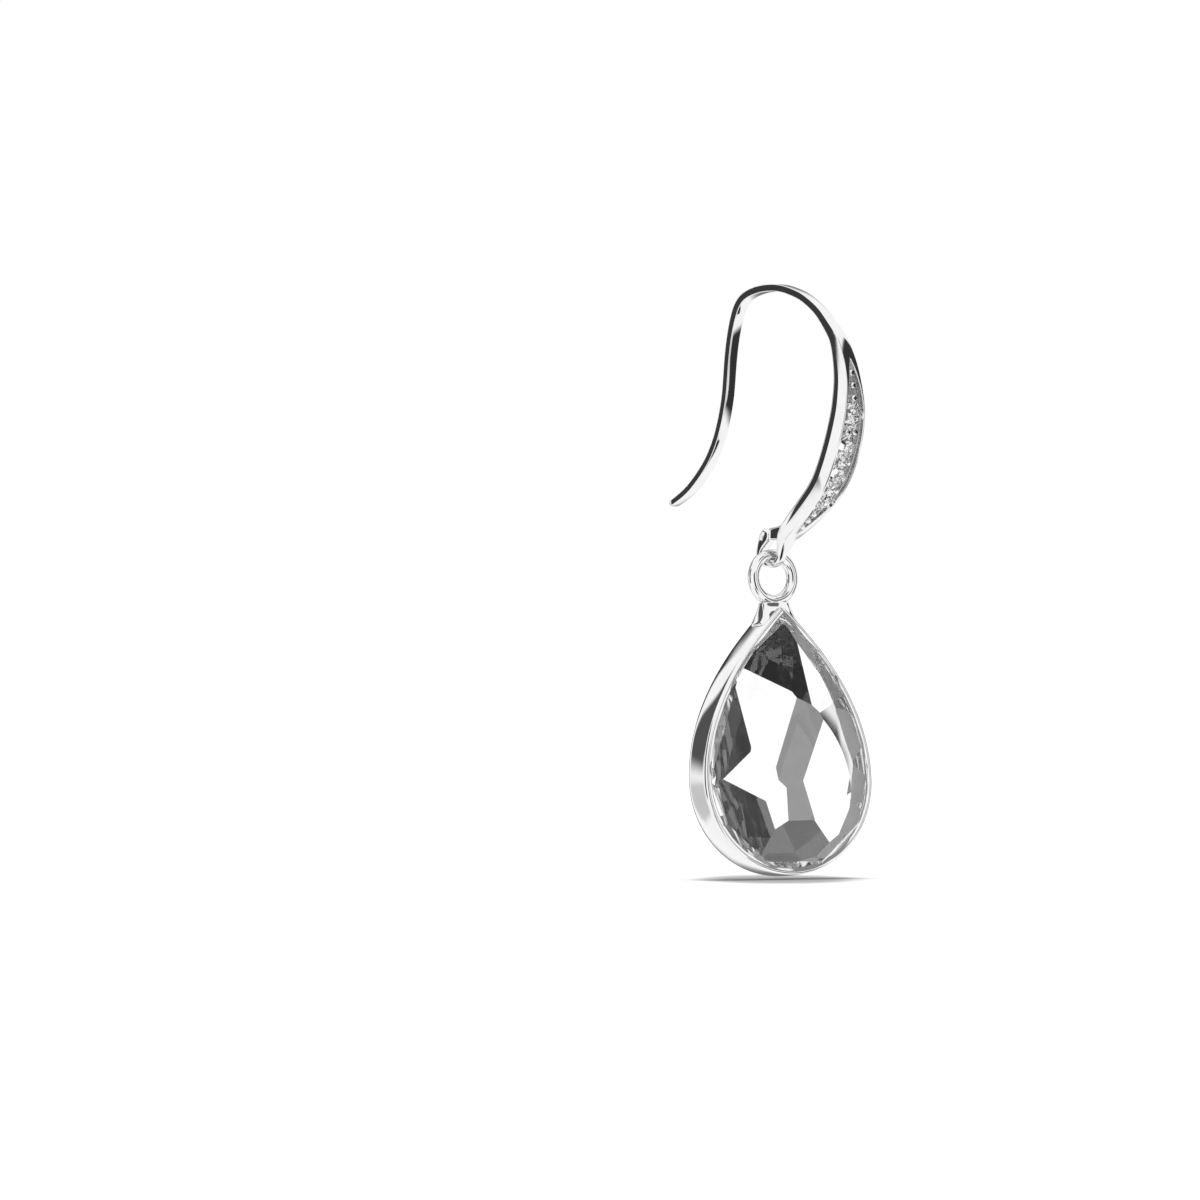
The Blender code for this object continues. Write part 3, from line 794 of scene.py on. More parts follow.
def smoothed(rows):
    """Rows with steps in between, eased so that reflections flow along them."""
    fine = []
    for index in range(len(rows) - 1):
        before = rows[max(index - 1, 0)]
        after = rows[min(index + 2, len(rows) - 1)]
        near = list(zip(before, rows[index], rows[index + 1], after))
        for step in range(SPINE_STEPS):
            fine.append([on_curve(*four, step / SPINE_STEPS) for four in near])
    fine.append(list(rows[-1]))
    for _ in range(SPINE_PASSES):
        fine = [fine[0]] + [
            [(a + 2 * b + c) / 4 for a, b, c in zip(*three)]
            for three in zip(fine, fine[1:], fine[2:])
        ] + [fine[-1]]
    return fine


def hook_rows(sizes):
    """Rows of the hook's spine: y, z, width, thickness, back and rim rounding."""
    top = sizes.band_thickness / 2
    rows = []
    for back, down, width, thickness in BACK_WIRE:
        rows.append((
            back * TAIL_REACH, top - down * TAIL_DROP,
            width * sizes.band_width, thickness * sizes.band_thickness,
            sizes.band_rounding, sizes.band_rounding,
        ))
    for forward, down, wider, thicker in FRONT_PANEL:
        rows.append((
            -forward * PANEL_REACH, top - down * LOOP_DROP,
            sizes.band_width + wider * (sizes.panel_width - sizes.band_width),
            sizes.band_thickness + thicker * (sizes.panel_thickness - sizes.band_thickness),
            sizes.band_rounding + thicker * (sizes.panel_back_rounding - sizes.band_rounding),
            sizes.band_rounding + thicker * (sizes.rim_rounding - sizes.band_rounding),
        ))
    centre_z = top - LOOP_DROP
    middle = LOOP_BORE + LOOP_STRIP / 2
    for degrees, wide_part, share in LOOP_TURNS:
        angle = math.radians(degrees)
        wide = TONGUE_WIDTH if wide_part == "tongue" else TAB_WIDTH
        rows.append((
            LOOP_SETBACK - middle * math.cos(angle), centre_z - middle * math.sin(angle),
            LOOP_WIDTH + share * (wide - LOOP_WIDTH), LOOP_STRIP,
            LOOP_ROUNDING, LOOP_ROUNDING,
        ))
    for back, up, width, thickness in TAB:
        rows.append((
            LOOP_SETBACK + back * LOOP_OUTER, centre_z + up * LOOP_OUTER,
            width * TAB_WIDTH, thickness * LOOP_STRIP,
            LOOP_ROUNDING, LOOP_ROUNDING,
        ))
    return smoothed(rows)


def outward_normals(rows):
    """Direction away from the inside of the arch at each row of the spine."""
    normals = []
    for index in range(len(rows)):
        one, two = rows[max(index - 1, 0)], rows[min(index + 1, len(rows) - 1)]
        tangent = Vector((0.0, two[0] - one[0], two[1] - one[1])).normalized()
        normals.append(Vector((0.0, tangent.z, -tangent.y)))
    return normals


def face_line(rows, normals):
    """Length down the hook's outer face from the top of the arch, with its points."""
    first = max(range(len(rows)), key=lambda index: rows[index][1])
    line = {}
    length = 0.0
    last = None
    for index in range(first, len(rows)):
        y, z, _, thickness = rows[index][:4]
        point = Vector((0.0, y, z)) + normals[index] * thickness / 2
        if last is not None:
            length += (point - last).length
        line[index] = (length, point, normals[index])
        last = point
    return line


def on_face(line, distance):
    """Point and outward direction at a distance down the outer face."""
    stations = list(line.values())
    for (start, one, normal_one), (end, two, normal_two) in zip(stations, stations[1:]):
        if end >= distance:
            share = (distance - start) / (end - start)
            return one.lerp(two, share), normal_one.lerp(normal_two, share).normalized()
    return stations[-1][1], stations[-1][2]


def channel_end(line):
    """Distance down the face of the channel's lower point."""
    rows_after_panel = (len(LOOP_TURNS) + len(TAB)) * SPINE_STEPS
    return list(line.values())[-1 - rows_after_panel][0] - CHANNEL_TO_TONGUE


def arc(centre_u, centre_v, radius, start, end, steps):
    """Points of an arc in a section."""
    points = []
    for step in range(steps + 1):
        angle = math.radians(start + (end - start) * step / steps)
        points.append((centre_u + radius * math.cos(angle), centre_v + radius * math.sin(angle)))
    return points


def hook_section(row, half, depth):
    """Section of the hook, from the middle of its back round to the middle of its face.

    The channel's half width and depth are 0 where there is no channel.
    """
    width, thickness, back, rim = row[2:6]
    back = min(back, width * CORNER_SHARE, thickness * CORNER_SHARE)
    rim = min(rim, width * CORNER_SHARE, thickness * CORNER_SHARE)
    side, face = width / 2, thickness / 2
    lean = SIDE_LEAN * thickness * min(1.0, max(0.0, (thickness - LEAN_FROM) / LEAN_EASE))
    edge = min(CHANNEL_EDGE, half / 2, depth / 3)
    turn = -face + thickness * TURN_SHARE
    floor = face - depth
    points = [(0.0, -face)]
    points += arc(side - back, back - face, back, -90, 0, BACK_CORNER_STEPS)
    points += [(side, turn - TURN_HALF), (side - lean * TURN_LEAN, turn + TURN_HALF)]
    points += arc(side - lean - rim, face - rim, rim, 0, 90, RIM_CORNER_STEPS)
    points += arc(half + edge, face - edge, edge, 90, 180, CHANNEL_EDGE_STEPS)
    points += [(half, face - depth / 2), (half - edge * WALL_FOOT, floor + edge)]
    points += [(max(half - edge * FLOOR_START, 0.0), floor), (0.0, floor)]
    return points


def make_hook_body(sizes, finishes):
    """Sweep the hook's section down its spine, with the channel let into the panel."""
    rows = hook_rows(sizes)
    normals = outward_normals(rows)
    line = face_line(rows, normals)
    end = channel_end(line)
    full = sizes.panel_width - 2 * sizes.rim_width
    rings = []
    floors = []
    for index, (row, normal) in enumerate(zip(rows, normals)):
        half = depth = 0.0
        if index in line:
            share = (line[index][0] - CHANNEL_START) / (end - CHANNEL_START)
            if 0 < share < 1:
                half = full / 2 * (1 - abs(2 * share - 1) ** MARQUISE_POWER) + CHANNEL_TIP
                depth = sizes.channel_depth * min(1.0, CHANNEL_RAMP * share, CHANNEL_RAMP * (1 - share))
        section = hook_section(row, half, depth)
        points = [Vector((u, row[0], row[1])) + v * normal for u, v in section]
        mirrored = [Vector((-p.x, p.y, p.z)) for p in reversed(points[1:-1])]
        rings.append(points + mirrored)
        floors.append(half > 0)
    bm, ring = ring_start(rings[0])
    close_ring(bm, ring)
    half_count = len(section)
    span = range(half_count - CHANNEL_POINTS, half_count + CHANNEL_POINTS - 2)
    for points, floor in zip(rings[1:], floors[1:]):
        ring = pull_ring(bm, ring, points)
        if floor:
            for spot in span:
                for face in bm.edges.get((ring[spot], ring[spot + 1])).link_faces:
                    face.material_index = CHANNEL_FINISH
    close_ring(bm, ring)
    bmesh.ops.remove_doubles(bm, verts=bm.verts, dist=MERGE)
    bmesh.ops.recalc_face_normals(bm, faces=bm.faces)
    return new_piece("silver_hook", bm, finishes), line


def rounded_box(width, height, low_radius, high_radius, steps=5):
    """Points round a rectangle whose low and high corners are rounded."""
    points = []
    corners = (
        (1, -1, low_radius, -90),
        (1, 1, high_radius, 0),
        (-1, 1, high_radius, 90),
        (-1, -1, low_radius, 180),
    )
    for side, level, radius, start in corners:
        radius = min(radius, width * CORNER_SHARE, height * CORNER_SHARE)
        centre = (side * (width / 2 - radius), level * (height / 2 - radius))
        points += arc(*centre, radius, start, start + 90, steps)
    return points


def foot_tool(sizes):
    """Thick foot of the hook that closes the top of the loop."""
    centre_z = sizes.band_thickness / 2 - LOOP_DROP
    rings = []
    for forward, top, bottom, width in FOOT:
        height = (top - bottom) * LOOP_OUTER
        section = rounded_box(
            width * FOOT_WIDTH, height, LOOP_ROUNDING, sizes.panel_back_rounding)
        y = LOOP_SETBACK - forward * LOOP_OUTER
        z = centre_z + (top + bottom) / 2 * LOOP_OUTER
        rings.append([Vector((u, y, z + v)) for u, v in section])
    return new_piece("foot_tool", drawn_out(rings))


def table_of(node):
    """Middle and outward direction of a cut stone's table, its largest flat face."""
    sums = {}
    for polygon in frame["nodes"][node].data.polygons:
        key = tuple(round(value, 2) for value in polygon.normal)
        area, total = sums.get(key, (0.0, Vector()))
        sums[key] = (area + polygon.area, total + polygon.area * polygon.center)
    key = max(sums, key=lambda one: sums[one][0])
    area, total = sums[key]
    return total / area, Vector(key).normalized()


def facing(point, normal):
    """Matrix that puts a piece at a point with its -Y side looking along a normal."""
    tilt = math.atan2(-normal.z, -normal.y)
    return Matrix.Translation(point) @ Matrix.Rotation(tilt, 4, "X")


def joined(shapes):
    """One bmesh of several shapes, each moved to its place."""
    bm = bmesh.new()
    mesh = bpy.data.meshes.new("shape")
    for shape, place in shapes:
        shape.transform(place)
        shape.to_mesh(mesh)
        shape.free()
        bm.from_mesh(mesh)
    bpy.data.meshes.remove(mesh)
    return bm


def accent_nodes():
    """Names of the round stones' nodes, top one first."""
    return sorted(name for name in frame["nodes"] if name.startswith("accent_stone"))


def accent_radius(node):
    """Half the width of a round stone."""
    low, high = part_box(node)
    return (high.x - low.x) / 2


def seat_tool():
    """Cutter of the funnel-shaped seats of all the round stones."""
    shapes = []
    for node in accent_nodes():
        radius = accent_radius(node) + STONE_SEAT_GAP
        middle, normal = table_of(node)
        profile = [(radius * share, depth * MM) for share, depth in SEAT]
        shapes.append((turned(profile, SEAT_SIDES), facing(middle, normal)))
    return new_piece("seat_tool", joined(shapes), smooth_angle=None)


def bead_spots(line):
    """Distance down the face and sideways place of each bead."""
    reach = []
    for node in accent_nodes():
        middle, _ = table_of(node)
        spot = min(line.values(), key=lambda station: (station[1] - middle).length)
        reach.append((spot[0], accent_radius(node)))
    spots = []
    upper = (reach[0][0] - reach[0][1] - BEAD_TO_STONE, CHANNEL_START + BEAD_TO_UPPER_POINT)
    lower = (reach[-1][0] + reach[-1][1] + BEAD_TO_STONE, channel_end(line) - BEAD_TO_LOWER_POINT)
    for first, last in (upper, lower):
        for index in range(BEADS_IN_RUN):
            spots.append((first + (last - first) * index / (BEADS_IN_RUN - 1), 0.0))
    for (one, _), (two, _) in zip(reach, reach[1:]):
        spots += [((one + two) / 2, -BEAD_SPREAD), ((one + two) / 2, BEAD_SPREAD)]
    return spots


def bead_tool(line, sizes):
    """Domed beads raised from the channel's floor."""
    radius = sizes.bead_diameter / 2
    profile = [
        (0.0, BEAD_ROOT),
        (radius * BEAD_ROOT_SHARE, BEAD_ROOT),
        (radius * BEAD_FOOT_SHARE, 0.0),
    ]
    for degrees in BEAD_DOME:
        angle = math.radians(degrees)
        profile.append((radius * math.cos(angle), -BEAD_LIFT - radius * math.sin(angle)))
    rim, top = profile[-1]
    profile += [(rim * share, top - BEAD_CAP * rise) for share, rise in BEAD_TOP]
    shapes = []
    for distance, across in bead_spots(line):
        point, normal = on_face(line, distance)
        place = point - normal * sizes.channel_depth + Vector((across, 0.0, 0.0))
        shapes.append((turned(profile, BEAD_SIDES), facing(place, normal)))
    return new_piece("bead_tool", joined(shapes))


def slice_off(bm, point, normal, index=None):
    """Cut away what lies beyond a plane and close the cut with a facet."""
    geometry = bm.verts[:] + bm.edges[:] + bm.faces[:]
    cut = bmesh.ops.bisect_plane(
        bm, geom=geometry, dist=ON_CUT, plane_co=point, plane_no=normal, clear_outer=True,
    )
    edges = [item for item in cut["geom_cut"] if isinstance(item, bmesh.types.BMEdge)]
    if len(edges) > 2:
        made = bmesh.ops.contextual_create(bm, geom=edges)
        if index is not None:
            for face in made["faces"]:
                face.material_index = index


def brilliant(radius, main_facets):
    """Round cut stone, table towards -Y, with its table's middle at the origin."""
    size = radius / ROUND_RADIUS
    crown, girdle, pavilion = ROUND_CROWN * size, ROUND_GIRDLE * size, ROUND_PAVILION * size
    height = crown + girdle + pavilion
    bm = bmesh.new()
    bmesh.ops.create_cone(
        bm, cap_ends=True, segments=ROUND_SIDES, radius1=radius, radius2=radius, depth=height,
        matrix=Matrix.Translation((0.0, height / 2, 0.0)) @ Matrix.Rotation(math.pi / 2, 4, "X"),
    )
    # Depth and radius of a point on each row of facets, how steep it is, its turn in
    # steps, whether it faces the front, and its finish
    rows = (
        (crown, radius, 0.62, 0.0, -1.0, CLEAR),
        (crown * 0.42, radius * 0.80, 0.44, 0.5, -1.0, CLEAR),
        (crown + girdle, radius, 0.88, 0.5, 1.0, FOIL),
    )
    for depth, reach, steep, phase, side, index in rows:
        for number in range(main_facets):
            turn = 2 * math.pi * (phase + number) / main_facets
            outward = Vector((math.sin(turn), 0.0, math.cos(turn)))
            normal = (outward * steep + Vector((0.0, side, 0.0))).normalized()
            slice_off(bm, outward * reach + Vector((0.0, depth, 0.0)), normal, index=index)
    bmesh.ops.recalc_face_normals(bm, faces=bm.faces)
    return bm


def drop_place():
    """Matrix of the drop's own frame at its hinge: X along the hinge, Z up the drop."""
    joint = frame["joints"][0]
    across = Vector(joint["axis"]).normalized()
    backward = UP.cross(across)
    turn = Matrix((across, backward, UP)).transposed().to_4x4()
    return Matrix.Translation(joint["pos_m"]) @ turn @ Matrix.Rotation(DROP_SWING, 4, "X")


def both_sides(side):
    """Closed outline from its right side, lowest point first, and its mirror image."""
    return side + [Vector((-point.x, point.y)) for point in reversed(side[1:-1])]


def pear(count):
    """Crystal's outline, from its lowest point up the right side and down the left."""
    low = STONE_LENGTH * LOWER_SHARE
    high = STONE_LENGTH - low
    side = []
    for index in range(count + 1):
        angle = math.radians(-90 + 180 * index / count)
        if angle < 0:
            side.append(Vector((STONE_WIDTH / 2 * math.cos(angle), low * math.sin(angle))))
        else:
            reach = max(math.cos(angle), 0.0) ** PEAR_POWER
            side.append(Vector((STONE_WIDTH / 2 * reach, high * math.sin(angle))))
    side[0].x = 0.0
    side[-1].x = 0.0
    return both_sides(side)


def grow(outline, distance):
    """Move an outline outwards, or inwards if negative, with its points spaced as before."""
    half = outline[:len(outline) // 2 + 1]
    moved = []
    for index, point in enumerate(half):
        before = outline[index - 1]
        after = outline[index + 1]
        along_edge = (after - before).normalized()
        moved.append(point + Vector((along_edge.y, -along_edge.x)) * distance)
    kept = [point for point in moved[:-1] if point.x > 0]
    tip = moved[-1]
    if len(kept) < len(moved) - 2:
        one, two = kept[-1], next(point for point in moved[len(kept):] if point.x <= 0)
        tip = one.lerp(two, one.x / max(one.x - two.x, TINY))
    path = [Vector((0.0, moved[0].y))] + kept + [Vector((0.0, tip.y))]
    return both_sides(spread(path, half))


def lengths(path):
    """Share of the whole length at each point of a path."""
    total = [0.0]
    for one, two in zip(path, path[1:]):
        total.append(total[-1] + (two - one).length)
    return [value / total[-1] for value in total]


def spread(path, model):
    """Points along a path, spaced as the points of a model path are."""
    shares = lengths(path)
    points = []
    for wanted in lengths(model):
        index = max(i for i, share in enumerate(shares) if share <= wanted + TINY)
        index = min(index, len(path) - 2)
        gap = shares[index + 1] - shares[index]
        points.append(path[index].lerp(path[index + 1], (wanted - shares[index]) / max(gap, TINY)))
    return points


def drop_middle():
    """Height of the crystal's widest line under the hinge."""
    stone = frame["nodes"]["teardrop_stone"]
    place = drop_place().inverted() @ stone.matrix_world
    lowest = min((place @ vert.co).z for vert in stone.data.vertices)
    return lowest + STONE_LENGTH * LOWER_SHARE


def at_depth(outline, depth, lift, scale=1.0):
    """Ring of an outline at a depth behind the rim."""
    return [Vector((p.x * scale, depth - RIM_FORWARD, p.y * scale + lift)) for p in outline]


def bezel_rings(outer, lift):
    """Rings of the outside of the bezel, rim to the middle of its back."""
    rings = [at_depth(grow(outer, -inset * MM), depth * MM, lift) for inset, depth in BEZEL_OUTSIDE]
    last_inset, last_depth = BEZEL_OUTSIDE[-1]
    shell = grow(outer, -last_inset * MM)
    for scale, share in BEZEL_DOME:
        depth = last_depth * MM + share * (BACK_DEPTH - last_depth * MM)
        rings.append(at_depth(shell, depth, lift, scale))
    return rings


def pocket_tool(outline, lift):
    """Cutter of the bezel's mouth, lip, seat and bowl."""
    girdle = grow(outline, STONE_GAP)
    rings = [at_depth(grow(girdle, -inset * MM), depth * MM, lift) for inset, depth in POCKET_MOUTH]
    seat = POCKET_MOUTH[-1][1] * MM
    for scale, share in BOWL:
        rings.append(at_depth(girdle, seat + share * (FLOOR_DEPTH - seat), lift, scale))
    return new_piece("pocket_tool", drawn_out(rings))


def kept_radius(count):
    """Share of its radius that a ring of so many points keeps when it is subdivided."""
    return (4 + 2 * math.cos(2 * math.pi / count)) / 6


def eye_and_neck(sizes):
    """Round eye with the neck pulled out of its underside, smoothed as one cast shape."""
    minor = sizes.eye_wire / 2 / kept_radius(EYE_SIDES)
    major = EYE_RADIUS / kept_radius(EYE_TURNS)
    points = []
    for index in range(EYE_SIDES):
        angle = 2 * math.pi * (index + 0.5) / EYE_SIDES
        points.append((0.0, minor * math.sin(angle), -major - minor * math.cos(angle)))
    bm, ring = ring_start(points)
    half_step = Matrix.Rotation(math.pi / EYE_TURNS, 3, "Y")
    bmesh.ops.rotate(bm, verts=ring, cent=(0.0, 0.0, 0.0), matrix=half_step)
    spin_round(bm, ring + bm.edges[:], EYE_TURNS, EYE_MERGE)
    reach = major + minor / 2
    foot = []
    for face in bm.faces:
        middle = face.calc_center_median()
        inside = abs(middle.x) < minor * PATCH_HALF_WIDTH and abs(middle.y) < minor * PATCH_HALF_DEPTH
        if inside and middle.z < -reach * PATCH_DOWN:
            foot.append(face)
    for down, half_width, half_depth in NECK:
        made = bmesh.ops.extrude_face_region(bm, geom=foot)["geom"]
        bmesh.ops.delete(bm, geom=foot, context="FACES")
        foot = [item for item in made if isinstance(item, bmesh.types.BMFace)]
        corners = {vert for face in foot for vert in face.verts}
        wide = max(abs(vert.co.x) for vert in corners)
        deep = max(abs(vert.co.y) for vert in corners)
        for vert in corners:
            vert.co.x *= half_width * MM / wide
            vert.co.y *= half_depth * MM / deep
            vert.co.z = -down * MM
    for vert in bm.verts:
        vert.co.z -= EYE_RADIUS
    bmesh.ops.recalc_face_normals(bm, faces=bm.faces)
    piece = new_piece("neck_tool", bm)
    rounding = piece.modifiers.new("rounding", "SUBSURF")
    rounding.levels = rounding.render_levels = 3
    return combined(piece, ())


def make_setting(sizes, finish):
    """Bezel, neck and eye in one soldered piece."""
    outline = pear(OUTLINE_STEPS)
    outer = grow(outline, STONE_GAP + WALL)
    lift = drop_middle()
    setting = new_piece("silver_setting", drawn_out(bezel_rings(outer, lift)), [finish])
    combined(setting, (
        (eye_and_neck(sizes), "UNION"),
        (pocket_tool(outline, lift), "DIFFERENCE"),
    ))
    tidy_normals(setting, SETTING_SMOOTH_ANGLE)
    setting.data.transform(drop_place())
    return setting


def rim_at(outline, degrees):
    """Direction at a turn from the top of an outline, and its furthest point that way."""
    angle = math.radians(degrees)
    outward = Vector((math.sin(angle), math.cos(angle)))
    return outward, max(outline, key=lambda point: point.dot(outward))


def crystal_bmesh(cut):
    """Pear-cut crystal: table and crown in front, foiled facets behind."""
    outline = pear(OUTLINE_STEPS // 2)
    front = -cut.crown_height
    back = cut.girdle_height + FOIL_DEPTH
    bm = drawn_out([
        [Vector((p.x, front, p.y)) for p in outline],
        [Vector((p.x, back * BLANK_SHARE, p.y)) for p in outline],
    ])
    table = [point * cut.table_share for point in outline]
    for degrees in CROWN_TURNS:
        outward, rim = rim_at(outline, degrees)
        _, inner = rim_at(table, degrees)
        run = min((rim - inner).dot(outward), CROWN_RUN)
        normal = Vector((outward.x * cut.crown_height, -run, outward.y * cut.crown_height)).normalized()
        slice_off(bm, Vector((rim.x, 0.0, rim.y)), normal)
    for level, deeper_right, deeper_up in FOIL_FACETS:
        point = Vector((0.0, back + level * MM, 0.0))
        slice_off(bm, point, Vector((-deeper_right, 1.0, -deeper_up)).normalized(), index=FOIL)
    for degrees in FOIL_BEVEL_TURNS:
        outward, rim = rim_at(outline, degrees)
        normal = Vector((outward.x * FOIL_BEVEL, 1.0, outward.y * FOIL_BEVEL)).normalized()
        soft = SOFT_BEVEL_FROM < degrees < 360 - SOFT_BEVEL_FROM
        place = Vector((rim.x, cut.girdle_height, rim.y))
        slice_off(bm, place, normal, index=SOFT_FOIL if soft else FOIL)
    bmesh.ops.remove_doubles(bm, verts=bm.verts, dist=MERGE)
    bmesh.ops.recalc_face_normals(bm, faces=bm.faces)
    foiled_from = cut.girdle_height * BEHIND_GIRDLE
    for face in bm.faces:
        if face.material_index == CLEAR and face.calc_center_median().y > foiled_from:
            face.material_index = SOFT_FOIL
    return bm


def make_camera():
    """Camera at the photograph's angle, with the earring where the photograph has it."""
    data = bpy.data.cameras.new("photo_camera")
    data.lens = VIEW_LENS
    data.sensor_width = SENSOR_WIDTH
    data.clip_start = 0.01
    data.clip_end = 20.0
    camera = placed("photo_camera", data)
    towards = Vector((math.sin(VIEW_AZIMUTH), -math.cos(VIEW_AZIMUTH), 0.0))
    right = towards.cross(UP) * -1.0
    middle = -right * PHOTO_MIDDLE_LEFT - UP * PHOTO_MIDDLE_DOWN
    camera.location = middle + towards * VIEW_DISTANCE
    ahead = middle - camera.location
    camera.rotation_euler = ahead.to_track_quat("-Z", "Y").to_euler()
    bpy.context.scene.camera = camera


def make_floor(look):
    """Pale floor just under the drop, with a soft painted shade in its colour below the drop, standing
    in for its shadow.
    """
    finish, tree, shader, place = new_finish("floor_painted_shade")
    shader.inputs["Roughness"].default_value = 0.9
    shader.inputs["Specular IOR Level"].default_value = 0.1
    base = Vector(look.floor_colour)
    even = ramp(tree, noise(tree, place, scale=6.0), base * 0.99, base)
    # Painted shade: the floor's colour is darkened in a soft ellipse round the middle of the drop,
    # standing in for the shadow it casts
    low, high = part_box("drop_setting")
    middle = (low + high) / 2
    right = Vector((math.cos(VIEW_AZIMUTH), math.sin(VIEW_AZIMUTH), 0.0))
    squares = []
    for axis, reach in ((right, PAINTED_SHADE_HALF_WIDTH), (UP.cross(right), PAINTED_SHADE_HALF_DEPTH)):
        offset = maths(tree, "SUBTRACT", along(tree, place, axis / reach), middle.dot(axis) / reach)
        squares.append(maths(tree, "POWER", maths(tree, "ABSOLUTE", offset), 2.0))
    distance = maths(tree, "ADD", *squares)
    shade = ranged(tree, distance, low=PAINTED_SHADE_CORE, high=PAINTED_SHADE_EDGE, start=1.0 - look.shade, end=1.0)
    mix = tree.nodes.new("ShaderNodeVectorMath")
    mix.operation = "SCALE"
    wire(tree, even, mix.inputs[0])
    wire(tree, shade, mix.inputs["Scale"])
    tree.links.new(mix.outputs["Vector"], shader.inputs["Base Color"])
    bm = bmesh.new()
    level = Matrix.Translation((0.0, 0.0, CAD_BOX[0].z - FLOOR_GAP))
    bmesh.ops.create_grid(bm, x_segments=2, y_segments=2, size=FLOOR_HALF, matrix=level)
    floor = new_piece("floor", bm, [finish], smooth_angle=None)
    floor.visible_glossy = False
    floor.visible_transmission = False


def make_lamp(look):
    """Broad light straight above, which casts a real shadow under the drop, over the painted shade in
    the floor's colour.
    """
    data = bpy.data.lights.new("overhead", "SUN")
    data.angle = OVERHEAD_ANGLE
    data.energy = look.overhead_power
    lamp = placed("overhead", data)
    lamp.location = UP * OVERHEAD_HEIGHT
    lamp.visible_glossy = False
    lamp.visible_transmission = False


def card_mask(tree, direction, azimuth, elevation, half_width, half_height, softness):
    """How much of a card is seen in a direction."""
    turn, rise = math.radians(azimuth), math.radians(elevation)
    centre = Vector((
        math.sin(turn) * math.cos(rise), -math.cos(turn) * math.cos(rise), math.sin(rise)))
    side = UP.cross(centre).normalized()
    top = centre.cross(side)
    ahead = along(tree, direction, centre)
    mask = maths(tree, "GREATER_THAN", ahead, 0.0)
    for axis, half in ((side, half_width), (top, half_height)):
        offset = maths(tree, "DIVIDE", along(tree, direction, axis), ahead)
        edge = math.tan(math.radians(half))
        shown = ranged(
            tree, maths(tree, "ABSOLUTE", offset),
            low=edge * (1 - softness), high=edge * (1 + softness), start=1.0, end=0.0)
        mask = maths(tree, "MULTIPLY", mask, shown)
    return mask


def make_studio(look):
    """White tent with dark cards for reflections, and plain white behind the earring."""
    world = bpy.data.worlds.new("studio")
    bpy.context.scene.world = world
    world.use_nodes = True
    tree = world.node_tree
    tree.nodes.clear()
    direction = tree.nodes.new("ShaderNodeTexCoord").outputs["Generated"]
    brightness = look.tent_brightness
    for name, azimuth, elevation, half_width, half_height, softness, level in CARDS:
        mask = card_mask(tree, direction, azimuth, elevation, half_width, half_height, softness)
        mix = tree.nodes.new("ShaderNodeMix")
        mix.label = name
        wire(tree, mask, mix.inputs["Factor"])
        wire(tree, brightness, mix.inputs["A"])
        wire(tree, level, mix.inputs["B"])
        brightness = mix.outputs["Result"]
    rays = tree.nodes.new("ShaderNodeLightPath")
    on_matt = maths(tree, "MULTIPLY", rays.outputs["Is Diffuse Ray"], look.room_light)
    plain = maths(tree, "MAXIMUM", rays.outputs["Is Camera Ray"], on_matt)
    seen = maths(tree, "ADD", rays.outputs["Is Camera Ray"], rays.outputs["Is Diffuse Ray"])
    choose = tree.nodes.new("ShaderNodeMix")
    wire(tree, seen, choose.inputs["Factor"])
    wire(tree, brightness, choose.inputs["A"])
    wire(tree, plain, choose.inputs["B"])
    background = tree.nodes.new("ShaderNodeBackground")
    background.inputs["Color"].default_value = (1.0, 1.0, 1.0, 1.0)
    tree.links.new(choose.outputs["Result"], background.inputs["Strength"])
    output = tree.nodes.new("ShaderNodeOutputWorld")
    tree.links.new(background.outputs["Background"], output.inputs["Surface"])


class EARRING_OT_stage(Operator):
    """Set up the camera, floor, lamp and white studio"""

    bl_idname = "earring.stage"
    bl_label = "Stage"

    def execute(self, context):
        """Build the stage."""
        look = context.scene.earring_stage
        make_camera()
        make_floor(look)
        make_lamp(look)
        make_studio(look)
        scene = context.scene
        scene.view_settings.view_transform = "Standard"
        scene.cycles.max_bounces = 24
        scene.cycles.diffuse_bounces = 12
        scene.cycles.glossy_bounces = 16
        scene.cycles.transmission_bounces = 24
        return {"FINISHED"}


class EARRING_OT_hook(Operator):
    """Make the silver ear hook with its beaded channel"""

    bl_idname = "earring.hook"
    bl_label = "Ear Hook"

    def execute(self, context):
        """Build the hook."""
        sizes = context.scene.earring_sizes
        metal = context.scene.earring_metal
        finishes = [polished_silver(metal), channel_silver(metal)]
        hook, line = make_hook_body(sizes, finishes)
        combined(hook, (
            (foot_tool(sizes), "UNION"),
            (bead_tool(line, sizes), "UNION"),
            (seat_tool(), "DIFFERENCE"),
        ))
        tidy_normals(hook, SMOOTH_ANGLE)
        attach(hook, "hook")
        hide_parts("ear_hook")
        return {"FINISHED"}


class EARRING_OT_channel_stones(Operator):
    """Make the four round stones in the channel"""

    bl_idname = "earring.channel_stones"
    bl_label = "Channel Stones"

    def execute(self, context):
        """Build the round stones."""
        cut = context.scene.earring_cut
        finishes = [clear_stone("clear_accent", ACCENT_INDEX, ACCENT_TINT), mirror_foil()]
        for number, node in enumerate(accent_nodes(), start=1):
            bm = brilliant(accent_radius(node), cut.crown_facets)
            middle, normal = table_of(node)
            bm.transform(facing(middle, normal))
            stone = new_piece(f"round_stone_{number}", bm, finishes, smooth_angle=None)
            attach(stone, "hook")
            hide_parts(node)
        return {"FINISHED"}


class EARRING_OT_setting(Operator):
    """Make the silver bezel with its neck and eye"""

    bl_idname = "earring.setting"
    bl_label = "Drop Setting"

    def execute(self, context):
        """Build the setting."""
        finish = polished_silver(context.scene.earring_metal)
        setting = make_setting(context.scene.earring_sizes, finish)
        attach(setting, "drop")
        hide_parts("drop_setting")
        return {"FINISHED"}


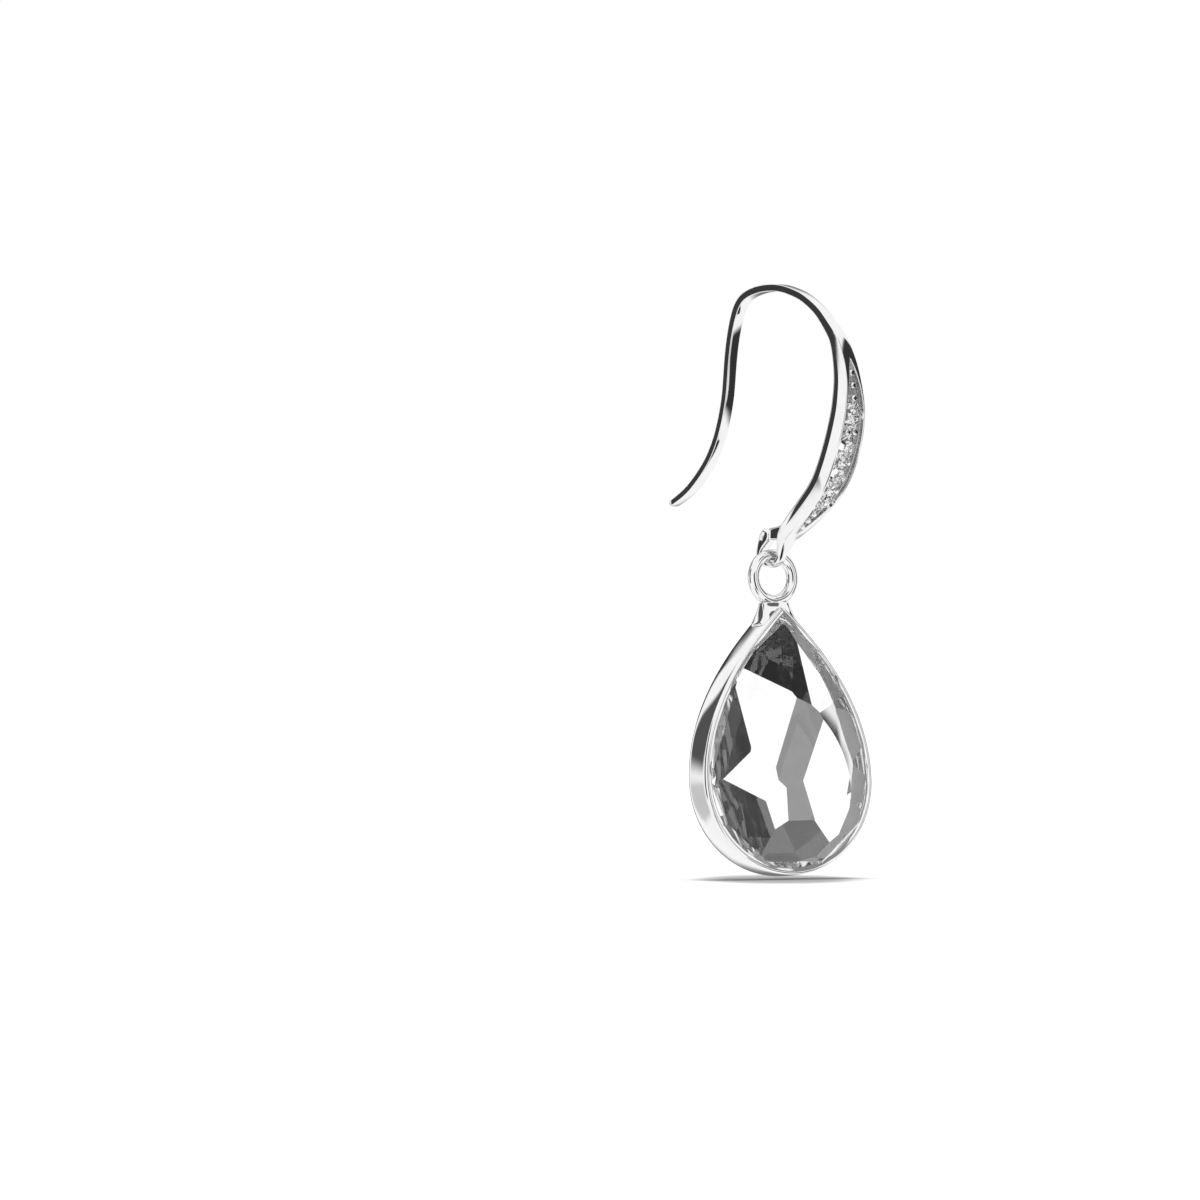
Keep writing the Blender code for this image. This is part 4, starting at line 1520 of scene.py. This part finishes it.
class EARRING_OT_crystal(Operator):
    """Make the pear-cut crystal with its foiled back"""

    bl_idname = "earring.crystal"
    bl_label = "Teardrop Crystal"

    def execute(self, context):
        """Build the crystal."""
        clear = clear_stone("clear_crystal", CRYSTAL_INDEX, CRYSTAL_TINT)
        finishes = [clear, mirror_foil(), mirror_foil("soft_foil", haze=SOFT_FOIL_HAZE, metallic=0.0)]
        bm = crystal_bmesh(context.scene.earring_cut)
        girdle = GIRDLE_DEPTH - RIM_FORWARD
        bm.transform(drop_place() @ Matrix.Translation((0.0, girdle, drop_middle())))
        crystal = new_piece("teardrop_crystal", bm, finishes, smooth_angle=None)
        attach(crystal, "drop")
        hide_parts("teardrop_stone")
        return {"FINISHED"}


class EARRING_PT_panel(Panel):
    """Buttons, sizes and colours of the earring"""

    bl_label = "Teardrop Earring"
    bl_space_type = "VIEW_3D"
    bl_region_type = "UI"
    bl_category = "Earring"

    def draw(self, context):
        """List the operators, then each group of settings."""
        for step in STEPS:
            self.layout.operator(step.bl_idname)
        for name, group in GROUPS.items():
            box = self.layout.box()
            for setting in group.__annotations__:
                box.prop(getattr(context.scene, name), setting)


STEPS = (
    EARRING_OT_stage,
    EARRING_OT_hook,
    EARRING_OT_channel_stones,
    EARRING_OT_setting,
    EARRING_OT_crystal,
)
GROUPS = {
    "earring_sizes": EarringSizes,
    "earring_cut": StoneCut,
    "earring_metal": MetalLook,
    "earring_stage": StageLook,
}


def register():
    """Register the property groups, operators and panel."""
    for name, group in GROUPS.items():
        bpy.utils.register_class(group)
        setattr(bpy.types.Scene, name, PointerProperty(type=group))
    for step in (*STEPS, EARRING_PT_panel):
        bpy.utils.register_class(step)


def unregister():
    """Take everything away again."""
    for step in reversed((*STEPS, EARRING_PT_panel)):
        bpy.utils.unregister_class(step)
    for name, group in reversed(GROUPS.items()):
        delattr(bpy.types.Scene, name)
        bpy.utils.unregister_class(group)


def main():
    """Build the stage and every piece."""
    register()
    bpy.ops.earring.stage()
    bpy.ops.earring.hook()
    bpy.ops.earring.channel_stones()
    bpy.ops.earring.setting()
    bpy.ops.earring.crystal()


if __name__ == "__main__":
    main()
